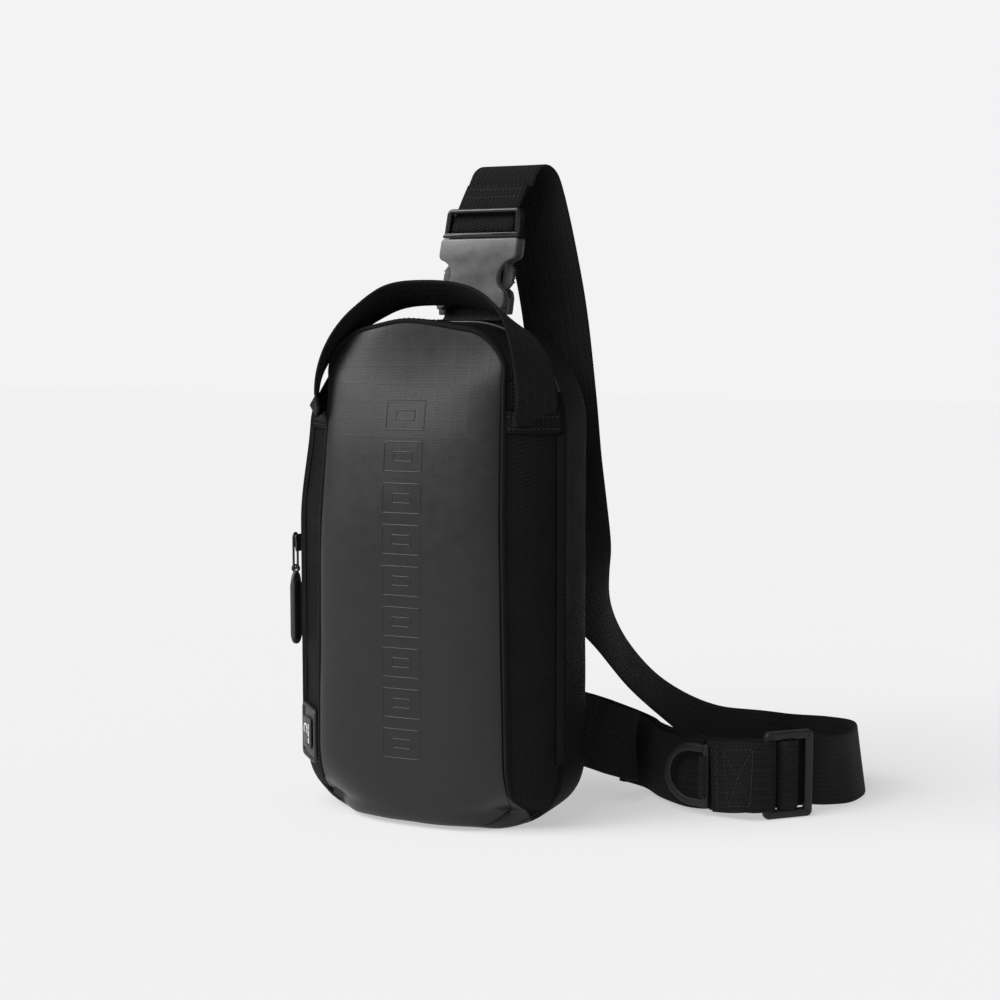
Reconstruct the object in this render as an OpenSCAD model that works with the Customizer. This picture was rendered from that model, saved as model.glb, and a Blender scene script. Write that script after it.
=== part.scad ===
// Sling bag: a rear compartment with a hinged front lobe, a carry handle, a side-release
// buckle and one long webbing strap with an adjuster. Millimetres.
// Origin: centre of the flat bottom, under the line where the two halves meet.
// X runs to the wearer's side, Y to the back panel, Z up.

/* [Bag body] */
// Width of the rear compartment
bag_w = 159; // [150:1:166]
// Height of the rear compartment
bag_h = 277; // [270:1:284]
// Depth of the rear compartment behind the seam
rear_depth = 40; // [36:1:42]
// Depth of the front lobe from the seam to the panel's edge
lobe_depth = 21; // [18:1:24]
// How far the front panel bulges past its own edge
panel_crown = 8; // [4:1:10]
// Width of the front panel at its top
panel_w = 110; // [104:1:114]
// Thickness of the padded walls
wall = 3; // [2.5:0.5:3.5]
// Thickness of the mesh pad on the back
back_pad_t = 5; // [4:1:6]

/* [Webbing] */
// Width of the strap
strap_w = 40; // [38:1:40]
// Thickness of the strap
strap_t = 1.5; // [1.2:0.1:1.6]
// Width of the handle's webbing
handle_w = 24; // [22:1:26]
// Rise of the handle above its sewn ends
handle_rise = 64; // [62:1:68]

/* [Buckle] */
// Width of the side-release buckle
buckle_w = 47; // [46:1:48]
// Thickness of the buckle
buckle_t = 11; // [10:1:12]
// How far the buckle leans to the side
buckle_lean = 7; // [5:1:8]

/* [Adjuster] */
// Height of the adjuster frame
frame_h = 50; // [49:1:51]
// Length of the adjuster frame along the strap
frame_l = 30; // [29:1:31]

/* [Hidden] */

// Body, worked out from the driving sizes
seam_y = -4;
half_w = bag_w / 2;
back_y = seam_y + rear_depth;
edge_y = seam_y - lobe_depth;
crown_y = edge_y - panel_crown;
top_r = 54;
low_r = 35;
panel_top_r = 25;
panel_low_r = 20;
panel_flare = 4;
panel_top_drop = 1;
panel_low_rise = 3;
body_gap = 0.3;
lining_t = 0.8;
gusset_top_z = 230;
hem_h = 9;
zip_low_z = 34;
zip_end_right_z = 240;
tape_w = 3;
zip_rise = 0.8;
coil_t = 1.3;
piece_n = 48;

// Slip pocket on the inside of the back wall
pocket_w = 120;
pocket_h = 160;
pocket_z = 14;
pocket_t = 1.2;
pocket_space = 6;
pocket_y = back_y - wall - lining_t;

// Slider and pull, on the left side of the seam
slider_z = 152;
slider_y = seam_y;
slider_l = 10;
slider_w = 7.4;
slider_out = 3;
pin_up = 2.5;
pull_x = -half_w - slider_out - coil_t - 2;
link_drop = 19;
pin_r = 0.8;
pin_bore_r = 0.86;
puller_l = 44;
puller_w = 9;
puller_t = 3;

// Charging-port patch, square to the sloping left gusset
port_z = 45;
port_w = 22;
port_h = 31;
port_t = 1.8;
gusset_turn = 42;
port_x = -half_w + 9.5;
port_y = seam_y - 12;

// Handle: half an oval, fuller than an ellipse, whose ends are sewn to the gussets
handle_half = 70.5;
handle_end_y = -18;
handle_top_y = -2;
handle_tilt = 33;
handle_end_turn = 0.9;
handle_square = 0.82;
handle_split = 14;
handle_t = 1.6;

// Buckle
buckle_y = 30;
buckle_x = 13;
buckle_z = 284.5;
bar_r = 2.2;
female_l = 40;
male_l = 17;
side_w = 4.6;
plate_t = 2;
prong_w = 6;
prong_l = 30;

// Adjuster: the frame stands on its long edge, turned about Z
adj_x = 184;
adj_y = 77.4;
adj_z = frame_h / 2;
adj_turn = 43;
frame_t = 4;
frame_bar = 5.5;

// D-ring on the front of the strap's sewn end
ring_x = 141;
ring_y = 61;
ring_z = 23;
ring_turn = -14;
ring_wire = 4.4;
ring_h = 35.6;
ring_l = 27;

// Ring at the lower back corner
corner_x = 54.3;
corner_ring_y = 45.8;
corner_z = 47;
corner_bar_r = 2;

// Route of the strap: [centre of the webbing, direction across its width]
arch_keys = [
    [[27.9, 33.5, 356.4], [1, 0, 0]],
    [[29.2, 35.4, 361], [1, 0, 0]],
    [[31.5, 41, 364.5], [1, 0, 0]],
    [[34.5, 48.5, 359], [1, 0, 0]]];
rear_keys = [
    [[37.5, 51.5, 349], [1, 0, -0.1]],
    [[45, 52.5, 317], [1, 0, -0.1]],
    [[51, 54.5, 282], [1, 0, -0.1]],
    [[56, 56.5, 235], [1, 0, 0]],
    [[58, 60, 195], [1, 0.1, 0]],
    [[60, 66, 155], [0.9, 0.45, 0]],
    [[62, 75, 124], [0.5, 0.85, 0.2]],
    [[70, 88, 98], [-0.1, 0.9, 0.45]],
    [[80, 107, 72], [-0.3, 0.8, 0.5]],
    [[97, 130, 47], [-0.4, 0.75, 0.55]],
    [[122, 150, 27], [-0.25, 0.6, 0.75]]];
floor_keys = [
    [[155, 162, 20.3], [0, 0.2, 1]],
    [[185, 165.5, 20.3], [0, 0, 1]],
    [[203, 161, 20.3], [-0.1, 0, 1]],
    [[210, 145, 20.3], [-0.15, 0, 1]],
    [[209, 122, 21], [-0.1, 0, 1]],
    [[202, 104, 23], [0, 0, 1]],
    [[194, 92.5, 25], [0, 0, 1]],
    [[187, 86, 25], [0, 0, 1]]];
back_keys = [
    [[181, 80.4, 25], [0, 0, 1]],
    [[173, 73.2, 25], [0, 0, 1]],
    [[160, 72, 24], [0, 0, 1]],
    [[144, 75, 22.5], [0, 0, 1]],
    [[122, 85, 21.5], [0, 0, 1]],
    [[106, 98, 21.5], [0, 0, 1]],
    [[92, 103, 24], [0, 0, 1]],
    [[80, 96, 30], [0, 0, 1]],
    [[70, 80, 38], [0, 0, 1]],
    [[63, 65, 44], [0, 0, 1]],
    [[60.2, 55, 46.6], [0, 0, 1]],
    [[59.4, 49, 47], [0, 0, 1]],
    [[60.4, 44.2, 47], [0, 0, 1]],
    [[64.5, 42.5, 47], [0, 0, 1]],
    [[68, 44.2, 46.8], [0, 0, 1]]];
front_keys = [
    [[69.7, 48.6, 46.3], [0, 0, 1]],
    [[71.4, 52.4, 45], [0, 0, 1]],
    [[76, 57, 42], [0, 0, 1]],
    [[86, 62, 38], [0, 0, 1]],
    [[94, 68, 35], [0, 0, 1]],
    [[94, 75, 33], [0, 0, 1]],
    [[88, 82, 30], [0, 0, 1]],
    [[87, 90, 27], [0, 0, 1]],
    [[96, 91, 24], [0, 0, 1]],
    [[108, 82, 22], [0, 0, 1]],
    [[124, 72, 21.5], [0, 0, 1]],
    [[134, 68.4, 22], [0, 0, 1]],
    [[140.8, 67.2, 23], [0, 0, 1]]];
strap_keys = concat(arch_keys, rear_keys, floor_keys, back_keys, front_keys);
rear_from = len(arch_keys);
floor_from = rear_from + len(rear_keys);
back_from = floor_from + len(floor_keys);
front_from = back_from + len(back_keys);

// ---- points and outlines ----

// Arc about a centre, from angle a0 to a1
function arc(cx, cz, r, a0, a1, n = 8) =
    [for (i = [0:n]) let (a = a0 + (a1 - a0) * i / n) [cx + r * cos(a), cz + r * sin(a)]];

// Upright outline, symmetric about Z, with round corners
function outline(half_top, half_low, z_low, z_high, r_top, r_low) = concat(
    arc(half_top - r_top, z_high - r_top, r_top, 0, 90),
    arc(-half_top + r_top, z_high - r_top, r_top, 90, 180),
    arc(-half_low + r_low, z_low + r_low, r_low, 180, 270),
    arc(half_low - r_low, z_low + r_low, r_low, 270, 360));

// Outline of the seam between the two halves, moved inwards by an inset
function seam_outline(inset = 0) =
    outline(half_w - inset, half_w - inset, max(inset, 0), bag_h - inset, top_r - inset, low_r - inset);

// Outline of the front panel, moved inwards by an inset
function panel_outline(inset = 0) =
    outline(panel_w / 2 - inset, panel_w / 2 + panel_flare - inset, panel_low_rise + inset,
            bag_h - panel_top_drop - inset, panel_top_r - inset * 0.5, panel_low_r - inset * 0.3);

// Smooth curve through four neighbouring points, t from 0 to 1 between b and c
function curve_point(a, b, c, d, t) =
    0.5 * (2 * b + (c - a) * t + (2 * a - 5 * b + 4 * c - d) * t * t + (3 * b - a - 3 * c + d) * t * t * t);

function unit(v) = v / norm(v);

// Point or width direction (which = 0 or 1) along a list of keys, at a place s counted in keys
function along(keys, which, s) =
    let (last = len(keys) - 1,
         i = max(min(floor(s), last - 1), 0),
         b = keys[i][which],
         c = keys[i + 1][which],
         a = i == 0 ? 2 * b - c : keys[i - 1][which],
         d = i == last - 1 ? 2 * c - b : keys[i + 2][which])
    curve_point(a, b, c, d, s - i);

// ---- shapes used by several parts ----

// A flat outline in XZ, thickened from y0 to y1
module upright(y0, y1, points) {
    translate([0, y1, 0])
        rotate([90, 0, 0])
            linear_extrude(y1 - y0)
                polygon(points);
}

// A band along the seam's outline, from inset a to inset b and from y0 to y1
module seam_band(a, b, y0, y1) {
    difference() {
        upright(y0, y1, seam_outline(a));
        upright(y0 - 1, y1 + 1, seam_outline(b));
    }
}

// Where the zip runs: up the left side, over the top and down to its end on the right
module zip_zone() {
    translate([-bag_w, -20, zip_low_z])
        cube([bag_w, 40, bag_h]);
    translate([-1, -20, zip_end_right_z])
        cube([bag_w, 40, bag_h]);
}

// Webbing: a flat strip swept along a list of [centre, width direction, thickness direction]
module strip(rings, width, thick) {
    corners = [[-1, -1], [1, -1], [1, 1], [-1, 1]];
    points = [for (r = rings) for (c = corners) r[0] + r[1] * c[0] * width / 2 + r[2] * c[1] * thick / 2];
    e = 4 * (len(rings) - 1);
    near = [for (i = [0:4:e - 4]) for (k = [0:3]) [i + k, i + 4 + k, i + 4 + (k + 1) % 4]];
    far = [for (i = [0:4:e - 4]) for (k = [0:3]) [i + k, i + 4 + (k + 1) % 4, i + (k + 1) % 4]];
    ends = [[0, 1, 2], [0, 2, 3], [e + 2, e + 1, e], [e + 3, e + 2, e]];
    polyhedron(points, concat(near, far, ends), convexity = 8);
}

// Rings for a strip along centre and width functions given as point lists
function rings_of(centres, widths) =
    let (last = len(centres) - 1)
    [for (i = [0:last])
        let (run = unit(centres[min(i + 1, last)] - centres[max(i - 1, 0)]),
             across = unit(widths[i] - run * (widths[i] * run)))
        [centres[i], across, cross(run, across)]];

// Webbing along keys, with a few steps between each two
module webbing(keys, width = strap_w, steps = 5) {
    webbing_between(keys, 0, len(keys) - 1, width, steps);
}

// Webbing along part of a list of keys; two parts that meet at a key share their end face
module webbing_between(keys, first, last, width = strap_w, steps = 5) {
    n = (last - first) * steps;
    centres = [for (i = [-1:n + 1]) along(keys, 0, first + i / steps)];
    widths = [for (i = [-1:n + 1]) along(keys, 1, first + i / steps)];
    rings = rings_of(centres, widths);
    strip([for (i = [1:n + 1]) rings[i]], width, strap_t);
}

// Solid volume of the front lobe, shrunk inwards by an inset
module lobe_volume(inset) {
    hull() {
        upright(seam_y - body_gap - 0.5, seam_y - body_gap, seam_outline(inset));
        upright(edge_y + inset, edge_y + inset + 0.5, panel_outline(inset));
        upright(edge_y - panel_crown * 0.7 + inset, edge_y, panel_outline(inset + 9));
        upright(crown_y + inset, edge_y, panel_outline(inset + 22));
    }
}

// Wall of the front lobe, open towards the rear compartment
module lobe_wall(outer, inner) {
    difference() {
        lobe_volume(outer);
        translate([0, 0.6, 0])
            lobe_volume(inner);
    }
}

// The front face, with the stretch that wraps under the bottom
module panel_zone(extra = 0) {
    translate([-bag_w, crown_y - 10, -1])
        cube([2 * bag_w, 10 + panel_crown + 1.5 + extra, bag_h + 20]);
    translate([-panel_w / 2 - extra, crown_y - 10, -1])
        cube([panel_w + 2 * extra, 60, 14 + extra]);
}

// Sets a part square on the left gusset, X along it towards the back, Y outwards
module on_left_gusset() {
    translate([port_x, port_y, port_z])
        rotate([0, 0, 180 - gusset_turn])
            children();
}

// Sets a part in the buckle's own frame, Z along the way it pulls apart
module at_buckle() {
    translate([buckle_x, buckle_y, buckle_z])
        rotate([0, buckle_lean, 0])
            children();
}

// Sets a part in the adjuster's own frame, X along the strap, -Y to the front
module at_adjuster() {
    translate([adj_x, adj_y, adj_z])
        rotate([0, 0, adj_turn])
            children();
}

// Plate centred on X and Y, standing on z = 0
module plate(w, t, h) {
    translate([-w / 2, -t / 2, 0])
        cube([w, t, h]);
}

// ---- rear compartment ----

// Padded tray of the rear compartment
module rear_shell() {
    color("#17181a")
        difference() {
            upright(seam_y, back_y, seam_outline(0));
            upright(seam_y - 1, back_y - wall, seam_outline(wall));
        }
}

// Thin cloth lining inside the tray
module rear_lining() {
    color("#3a3d42")
        difference() {
            upright(seam_y + 1, back_y - wall, seam_outline(wall));
            upright(seam_y, back_y - wall - lining_t, seam_outline(wall + lining_t));
        }
}

// Air-mesh pad on the back, in three cushions with channels between them
module back_pad() {
    cushion_h = 74;
    channel = 6;
    color("#1d1e20")
        for (i = [0:2])
            intersection() {
                upright(back_y, back_y + back_pad_t, seam_outline(10));
                translate([-half_w, back_y - 1, 20 + i * (cushion_h + channel)])
                    cube([bag_w, back_pad_t + 2, cushion_h]);
            }
}

// Flat pocket on the inside of the back wall, open at the top
module slip_pocket() {
    color("#2b2d31")
        translate([-pocket_w / 2, pocket_y - pocket_space - pocket_t, pocket_z])
            difference() {
                cube([pocket_w, pocket_space + pocket_t, pocket_h]);
                translate([pocket_t, pocket_t, pocket_t])
                    cube([pocket_w - 2 * pocket_t, pocket_space + 1, pocket_h]);
            }
}

// Elastic hem along the pocket's mouth
module pocket_hem() {
    hem_t = 2;
    elastic_h = 8;
    front_y = pocket_y - pocket_space - pocket_t;
    color("#111214")
        translate([-pocket_w / 2, front_y - hem_t, pocket_z + pocket_h - elastic_h])
            cube([pocket_w, hem_t, elastic_h]);
}

module zip_tape_rear() {
    color("#101113")
        intersection() {
            seam_band(-zip_rise, 0, seam_y, seam_y + tape_w);
            zip_zone();
        }
}

module zip_coil_rear() {
    color("#1c1c1e")
        intersection() {
            seam_band(-zip_rise - coil_t, -zip_rise, seam_y, seam_y + coil_t);
            zip_zone();
        }
}

// ---- front lobe ----

// Smooth coated panel: the front face and the wrap under the bottom
module front_panel() {
    color("#3b3c3f")
        intersection() {
            lobe_wall(0, 2);
            panel_zone();
        }
}

// Foam that keeps the panel's crown, just behind it
module panel_foam() {
    color("#6b6e73")
        difference() {
            translate([0, 0.65, 0])
                lobe_volume(2.05);
            translate([0, 4, 0])
                lobe_volume(3);
            translate([-bag_w, edge_y + 3, -1])
                cube([2 * bag_w, 60, bag_h + 20]);
        }
}

// Side and top walls between the panel and the seam
module gusset_wall() {
    difference() {
        lobe_wall(0, 2);
        panel_zone();
    }
}

module top_gusset() {
    color("#1a1b1d")
        intersection() {
            gusset_wall();
            translate([-bag_w, -60, gusset_top_z])
                cube([2 * bag_w, 120, bag_h]);
        }
}

module side_gusset(side) {
    color("#1a1b1d")
        intersection() {
            gusset_wall();
            translate([side < 0 ? -bag_w : 0, -60, 0])
                cube([bag_w, 120, gusset_top_z]);
        }
}

module left_gusset() side_gusset(-1);
module right_gusset() side_gusset(1);

// Narrow twill strip round the panel's edge
module panel_binding() {
    color("#202123")
        difference() {
            upright(edge_y + 0.4, edge_y + 3.4, panel_outline(-2.2));
            upright(edge_y, edge_y + 4, panel_outline(1));
            lobe_volume(0);
            translate([-bag_w, -60, -1])
                cube([2 * bag_w, 120, 24]);
        }
}

// Folded top edges of the side gussets, which hold the handle's ends
module gusset_hems() {
    color("#131416")
        intersection() {
            difference() {
                translate([0, 0.3, 0])
                    lobe_volume(-1.4);
                lobe_volume(0);
                translate([-bag_w, seam_y - tape_w - 2 * body_gap, 0])
                    cube([2 * bag_w, 60, 2 * bag_h]);
                translate([-bag_w, edge_y - 60 + 3.6, 0])
                    cube([2 * bag_w, 60, 2 * bag_h]);
            }
            translate([-bag_w, -60, gusset_top_z - hem_h - 4])
                cube([2 * bag_w, 120, hem_h]);
        }
}

module zip_tape_front() {
    color("#101113")
        intersection() {
            difference() {
                seam_band(-zip_rise, 2, seam_y - body_gap - tape_w, seam_y - body_gap);
                lobe_volume(0);
            }
            zip_zone();
        }
}

module zip_coil_front() {
    color("#1c1c1e")
        intersection() {
            seam_band(-zip_rise - coil_t, -zip_rise, seam_y - body_gap - coil_t, seam_y - body_gap);
            zip_zone();
        }
}

// ---- zip slider and pull ----

// Slider with a channel over the two coils, two lugs and the link's pin
module zip_slider() {
    coil_out = zip_rise + coil_t + body_gap;
    lug_y = 2.9;
    lug_t = 1.2;
    lug_out = 1.2;
    color("#2c2d30") {
        difference() {
            translate([-half_w - slider_out - coil_t, slider_y - slider_w / 2, slider_z - slider_l / 2])
                cube([slider_out + coil_t - 1.2, slider_w, slider_l]);
            translate([-half_w - coil_out, slider_y - slider_w / 2 + 1, slider_z - slider_l])
                cube([coil_out, slider_w - 2, 2 * slider_l]);
        }
        for (side = [-1, 1])
            translate([pull_x - lug_out, slider_y + side * lug_y - lug_t / 2, slider_z + 1])
                cube([lug_out + 2.4, lug_t, 3]);
        translate([pull_x, slider_y + lug_y, slider_z + pin_up])
            rotate([90, 0, 0])
                cylinder(h = 2 * lug_y, r = pin_r, $fn = piece_n);
    }
}

// Metal link with an eye at the top, a window and a round bar at the bottom
module zip_link() {
    link_w = 4.2;
    color("#8b8d90") {
        difference() {
            union() {
                translate([pull_x, slider_y + link_w / 2, slider_z + pin_up])
                    rotate([90, 0, 0])
                        cylinder(h = link_w, r = 1.7, $fn = piece_n);
                translate([pull_x - 0.6, slider_y - link_w / 2, slider_z - link_drop + 4])
                    cube([1.2, link_w, link_drop - 3]);
            }
            translate([pull_x, slider_y + link_w, slider_z + pin_up])
                rotate([90, 0, 0])
                    cylinder(h = 2 * link_w, r = pin_bore_r, $fn = piece_n);
            translate([pull_x - 2, slider_y - 1.2, slider_z - 9])
                cube([4, 2.4, 8]);
        }
        translate([pull_x, slider_y + 3.6, slider_z - link_drop + 4])
            rotate([90, 0, 0])
                cylinder(h = 7.2, r = pin_r, $fn = piece_n);
    }
}

// Rubber pull with two ears round the link's bar, and a raised rim
module zip_puller() {
    top_z = slider_z - link_drop + 4;
    color("#1b1c1e")
        difference() {
            union() {
                for (side = [-1, 1])
                    translate([pull_x, slider_y + side * 3.6 + 0.9, top_z])
                        rotate([90, 0, 0])
                            cylinder(h = 1.8, r = 1.9, $fn = piece_n);
                for (side = [-1, 1])
                    translate([pull_x - 1.5, slider_y + side * 3.6 - 0.9, top_z - 5])
                        cube([3, 1.8, 5]);
                translate([pull_x - puller_t / 2, slider_y, top_z - puller_l + puller_w / 2])
                    rotate([0, 90, 0])
                        cylinder(h = puller_t, r = puller_w / 2, $fn = piece_n);
                translate([pull_x - puller_t / 2, slider_y - puller_w / 2, top_z - puller_l + puller_w / 2])
                    cube([puller_t, puller_w, puller_l - puller_w / 2 - 4]);
            }
            translate([pull_x, slider_y + 10, top_z])
                rotate([90, 0, 0])
                    cylinder(h = 20, r = pin_bore_r, $fn = piece_n);
            for (side = [-1, 1])
                translate([pull_x + side * puller_t / 2 - 0.3, slider_y - 2.8, top_z - puller_l + 5])
                    cube([0.6, 5.6, puller_l - 16]);
        }
}

// ---- charging port ----

// Moulded patch with a shallow recess
module port_plate() {
    color("#232427")
        on_left_gusset()
            difference() {
                translate([-port_w / 2, 0, -port_h / 2])
                    cube([port_w, port_t, port_h]);
                translate([-port_w / 2 + 4, 0.6, -port_h / 2 + 6])
                    cube([port_w - 8, port_t, port_h - 12]);
            }
}

// Generic charging socket in the recess
module port_socket() {
    color("#6f7276")
        on_left_gusset()
            difference() {
                translate([-3.2, 0.6, -7])
                    cube([6.4, 0.6, 14]);
                translate([-2.2, 0.9, -6])
                    cube([4.4, 1, 12]);
            }
}

// Rubber cover over the recess, hinged along its upper edge
module port_cover() {
    color("#2a2b2e")
        on_left_gusset()
            translate([-port_w / 2 + 4.4, 1.5, -port_h / 2 + 6.4])
                cube([port_w - 8.8, 1, port_h - 12.8]);
}

// ---- handle ----

// Point of the handle's centre line at angle t, 0 to 180
function handle_centre(t) =
    [handle_half * sign(cos(t)) * pow(abs(cos(t)), handle_square),
     handle_end_y + (handle_top_y - handle_end_y) * pow(sin(t), 3),
     gusset_top_z + handle_rise * pow(sin(t), handle_square)];

// Direction across the webbing: along the gusset at the ends, tilted back at the top
function handle_across(t) =
    [handle_end_turn * sign(cos(t)) * pow(cos(t), 4), cos(handle_tilt * sin(t)), -sin(handle_tilt * sin(t))];

module handle_strip(t0, t1, steps) {
    centres = [for (i = [0:steps]) handle_centre(t0 + (t1 - t0) * i / steps)];
    widths = [for (i = [0:steps]) handle_across(t0 + (t1 - t0) * i / steps)];
    strip(rings_of(centres, widths), handle_w, handle_t);
}

// Sewn ends of the handle, tucked down over the gussets
module handle_ends() {
    color("#141517") {
        for (side = [-1, 1])
            difference() {
                hull()
                    for (z = [gusset_top_z - 3.8, gusset_top_z + 4])
                        translate([side * (handle_half - 0.6), handle_end_y + 0.4, z])
                            rotate([0, 0, side * gusset_turn])
                                translate([-handle_w / 2, -handle_t / 2, 0])
                                    cube([handle_w, handle_t, 1]);
                lobe_volume(0);
            }
        handle_strip(1, handle_split, 3);
        handle_strip(180 - handle_split, 179, 3);
    }
}

// Free arch of the handle
module handle() {
    color("#141517")
        handle_strip(handle_split + 0.3, 180 - handle_split - 0.3, 36);
}

// ---- side-release buckle ----

// Webbing loop sewn to the top of the bag, round the buckle's lower bar
module buckle_loop() {
    loop_w = 32;
    loop_r = bar_r + 0.3;
    foot_y = seam_y + tape_w + 1;
    color("#141517")
        difference() {
            union() {
                at_buckle()
                    translate([-loop_w / 2, 0, 0])
                        rotate([0, 90, 0])
                            cylinder(h = loop_w, r = loop_r + strap_t, $fn = piece_n);
                translate([buckle_x - loop_w / 2, foot_y, bag_h])
                    cube([loop_w, back_y - 1 - foot_y, 2 * strap_t]);
                translate([buckle_x - loop_w / 2, buckle_y - loop_r - strap_t, bag_h])
                    cube([loop_w, 2 * (loop_r + strap_t), buckle_z - bag_h - 2]);
            }
            at_buckle()
                translate([-loop_w, 0, 0])
                    rotate([0, 90, 0])
                        cylinder(h = 2 * loop_w, r = loop_r, $fn = piece_n);
        }
}

// Female half: two plates, closed sides at the mouth, side windows, legs and a bar
module buckle_female() {
    body_low = 5.5;
    window_low = 9;
    window_high = 29;
    color("#232427")
        at_buckle() {
            translate([-buckle_w / 2 + 4, 0, 0])
                rotate([0, 90, 0])
                    cylinder(h = buckle_w - 8, r = bar_r, $fn = piece_n);
            for (side = [-1, 1])
                translate([side * (buckle_w / 2 - 4.4), 0, -bar_r])
                    plate(4.4, 2 * bar_r, body_low + bar_r + 1);
            difference() {
                translate([0, 0, body_low])
                    plate(buckle_w, buckle_t, female_l - body_low);
                translate([0, 0, body_low + 2])
                    plate(buckle_w - 2 * side_w, buckle_t - 2 * plate_t, female_l);
                for (side = [-1, 1]) {
                    translate([side * buckle_w / 2, buckle_t, (window_low + window_high) / 2])
                        rotate([90, 0, 0])
                            cylinder(h = 2 * buckle_t, r = (window_high - window_low) / 2, $fn = piece_n);
                    translate([side * (buckle_w / 2 + 4), 0, -1])
                        plate(11, 2 * buckle_t, window_low + 3);
                }
            }
        }
}

// Male half: window frame, webbing bar, base and centre tongue
module buckle_male() {
    base_z = female_l + body_gap;
    color("#1e1f21")
        at_buckle() {
            translate([0, 0, base_z])
                plate(buckle_w, buckle_t, 1.8);
            for (side = [-1, 1])
                translate([side * (buckle_w / 2 - 2), 0, base_z])
                    plate(4, buckle_t, male_l);
            translate([0, -buckle_t / 2 + 1.5, base_z + male_l - 4])
                plate(buckle_w, 3, 4);
            translate([-buckle_w / 2 + 1, 0, base_z + 5.6])
                rotate([0, 90, 0])
                    cylinder(h = buckle_w - 2, r = 1.6, $fn = piece_n);
            translate([0, 0, base_z - prong_l + 6])
                plate(6, buckle_t - 2 * plate_t - 1, prong_l - 5);
        }
}

// Sprung prong with its release button in the side window
module prong(side) {
    base_z = female_l + body_gap;
    arm_x = buckle_w / 2 - side_w - 2.6;
    color("#1b1c1e")
        at_buckle()
            mirror([side < 0 ? 1 : 0, 0, 0]) {
                translate([arm_x - 1, 0, base_z - prong_l + 10])
                    plate(3, buckle_t - 2 * plate_t - 1, prong_l - 10.3);
                intersection() {
                    translate([arm_x - 5.2, (buckle_t - 2 * plate_t - 1) / 2, 19])
                        rotate([90, 0, 0])
                            cylinder(h = buckle_t - 2 * plate_t - 1, r = 7.4, $fn = piece_n);
                    translate([arm_x - prong_w / 2, -buckle_t, 11])
                        cube([prong_w, 2 * buckle_t, 16]);
                }
            }
}

module prong_left() prong(-1);
module prong_right() prong(1);

// ---- strap ----

// Sewn end of the strap: round the male half's bar and up, two layers thick
module strap_fold() {
    fold_keys = [
        [[26.6, 30.4, 353], [1, 0, 0]],
        [[22.6, 31, 346], [1, 0, -0.05]],
        [[19.9, 31, 338], [1, 0, -0.12]],
        [[19.1, 28.3, 333.6], [1, 0, -0.12]],
        [[18.65, 27.3, 330.4], [1, 0, -0.12]],
        [[18.4, 28.1, 328.2], [1, 0, -0.12]],
        [[18.3, 30, 327.4], [1, 0, -0.12]],
        [[18.4, 31.9, 328.2], [1, 0, -0.12]],
        [[18.65, 32.7, 330.4], [1, 0, -0.12]],
        [[19.5, 33.2, 336], [1, 0, -0.12]],
        [[22, 33, 346], [1, 0, -0.08]],
        [[26.8, 33, 353.6], [1, 0, 0]]];
    color("#151618")
        webbing(fold_keys, strap_w - 4, 4);
}

module strap_arch() {
    color("#151618")
        webbing_between(strap_keys, 0, rear_from);
}

module strap_rear_run() {
    color("#151618")
        webbing_between(strap_keys, rear_from, floor_from);
}

module strap_floor_loop() {
    color("#151618")
        webbing_between(strap_keys, floor_from, back_from);
}

// Layer that comes back from the bag's corner behind the sewn layer
module strap_back_layer() {
    color("#151618")
        webbing_between(strap_keys, back_from, front_from);
}

// Layer from the sewn end to the bag's corner, with a pleat
module strap_front_layer() {
    color("#151618")
        webbing_between(strap_keys, front_from, len(strap_keys) - 1);
}

// Sewn end: double webbing from the D-ring's bar to the adjuster's left bar
module strap_sewn_end() {
    front_ply = [
        [[ring_x + 3.4, ring_y + 0.3, ring_z], [0, 0, 1]],
        [[153, 60.4, 23.5], [0, 0, 1]],
        [[163, 59.4, 25], [0, 0, 1]],
        [[170, 60.9, 25], [0, 0, 1]],
        [[175, 64.6, 25], [0, 0, 1]],
        [[177.9, 67.5, 25], [0, 0, 1]],
        [[178.6, 69.6, 25], [0, 0, 1]],
        [[178, 71.6, 25], [0, 0, 1]]];
    rear_ply = [
        [[141.6, 64.9, 23], [0, 0, 1]],
        [[150, 62.4, 23.5], [0, 0, 1]],
        [[162, 61.1, 25], [0, 0, 1]],
        [[168, 62, 25], [0, 0, 1]],
        [[171.6, 64.6, 25], [0, 0, 1]]];
    color("#18191b") {
        webbing(front_ply, strap_w, 4);
        webbing(rear_ply, strap_w, 4);
        translate([ring_x, ring_y, ring_z - 12])
            difference() {
                cylinder(h = 24, r = ring_wire / 2 + 2, $fn = piece_n);
                translate([0, 0, -1])
                    cylinder(h = 26, r = ring_wire / 2 + 0.1, $fn = piece_n);
            }
    }
}

// Turn of the strap over the adjuster's middle bar
module strap_roll() {
    roll_keys = [
        [[-6.2, 0.6, 0], [0, 0, 1]],
        [[-4.6, -1.6, 0], [0, 0, 1]],
        [[-2, -3.4, 0], [0, 0, 1]],
        [[2, -3.4, 0], [0, 0, 1]],
        [[4.6, -1.6, 0], [0, 0, 1]],
        [[6.2, 0.6, 0], [0, 0, 1]]];
    color("#17181a")
        at_adjuster()
            webbing(roll_keys, strap_w - 0.6, 3);
}

// ---- adjuster, D-ring and corner fittings ----

// Three-bar adjuster frame
module adjuster_frame() {
    slot_h = frame_h - 2 * frame_bar + 2;
    middle_bar = 4;
    side_bar = 4.5;
    slot_w = (frame_l - 2 * side_bar - middle_bar) / 2;
    color("#222325")
        at_adjuster()
            difference() {
                translate([-frame_l / 2, -frame_t / 2, -frame_h / 2])
                    cube([frame_l, frame_t, frame_h]);
                for (side = [-1, 1])
                    translate([side * (middle_bar + slot_w) / 2 - slot_w / 2, -frame_t, -slot_h / 2])
                        cube([slot_w, 2 * frame_t, slot_h]);
            }
}

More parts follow.
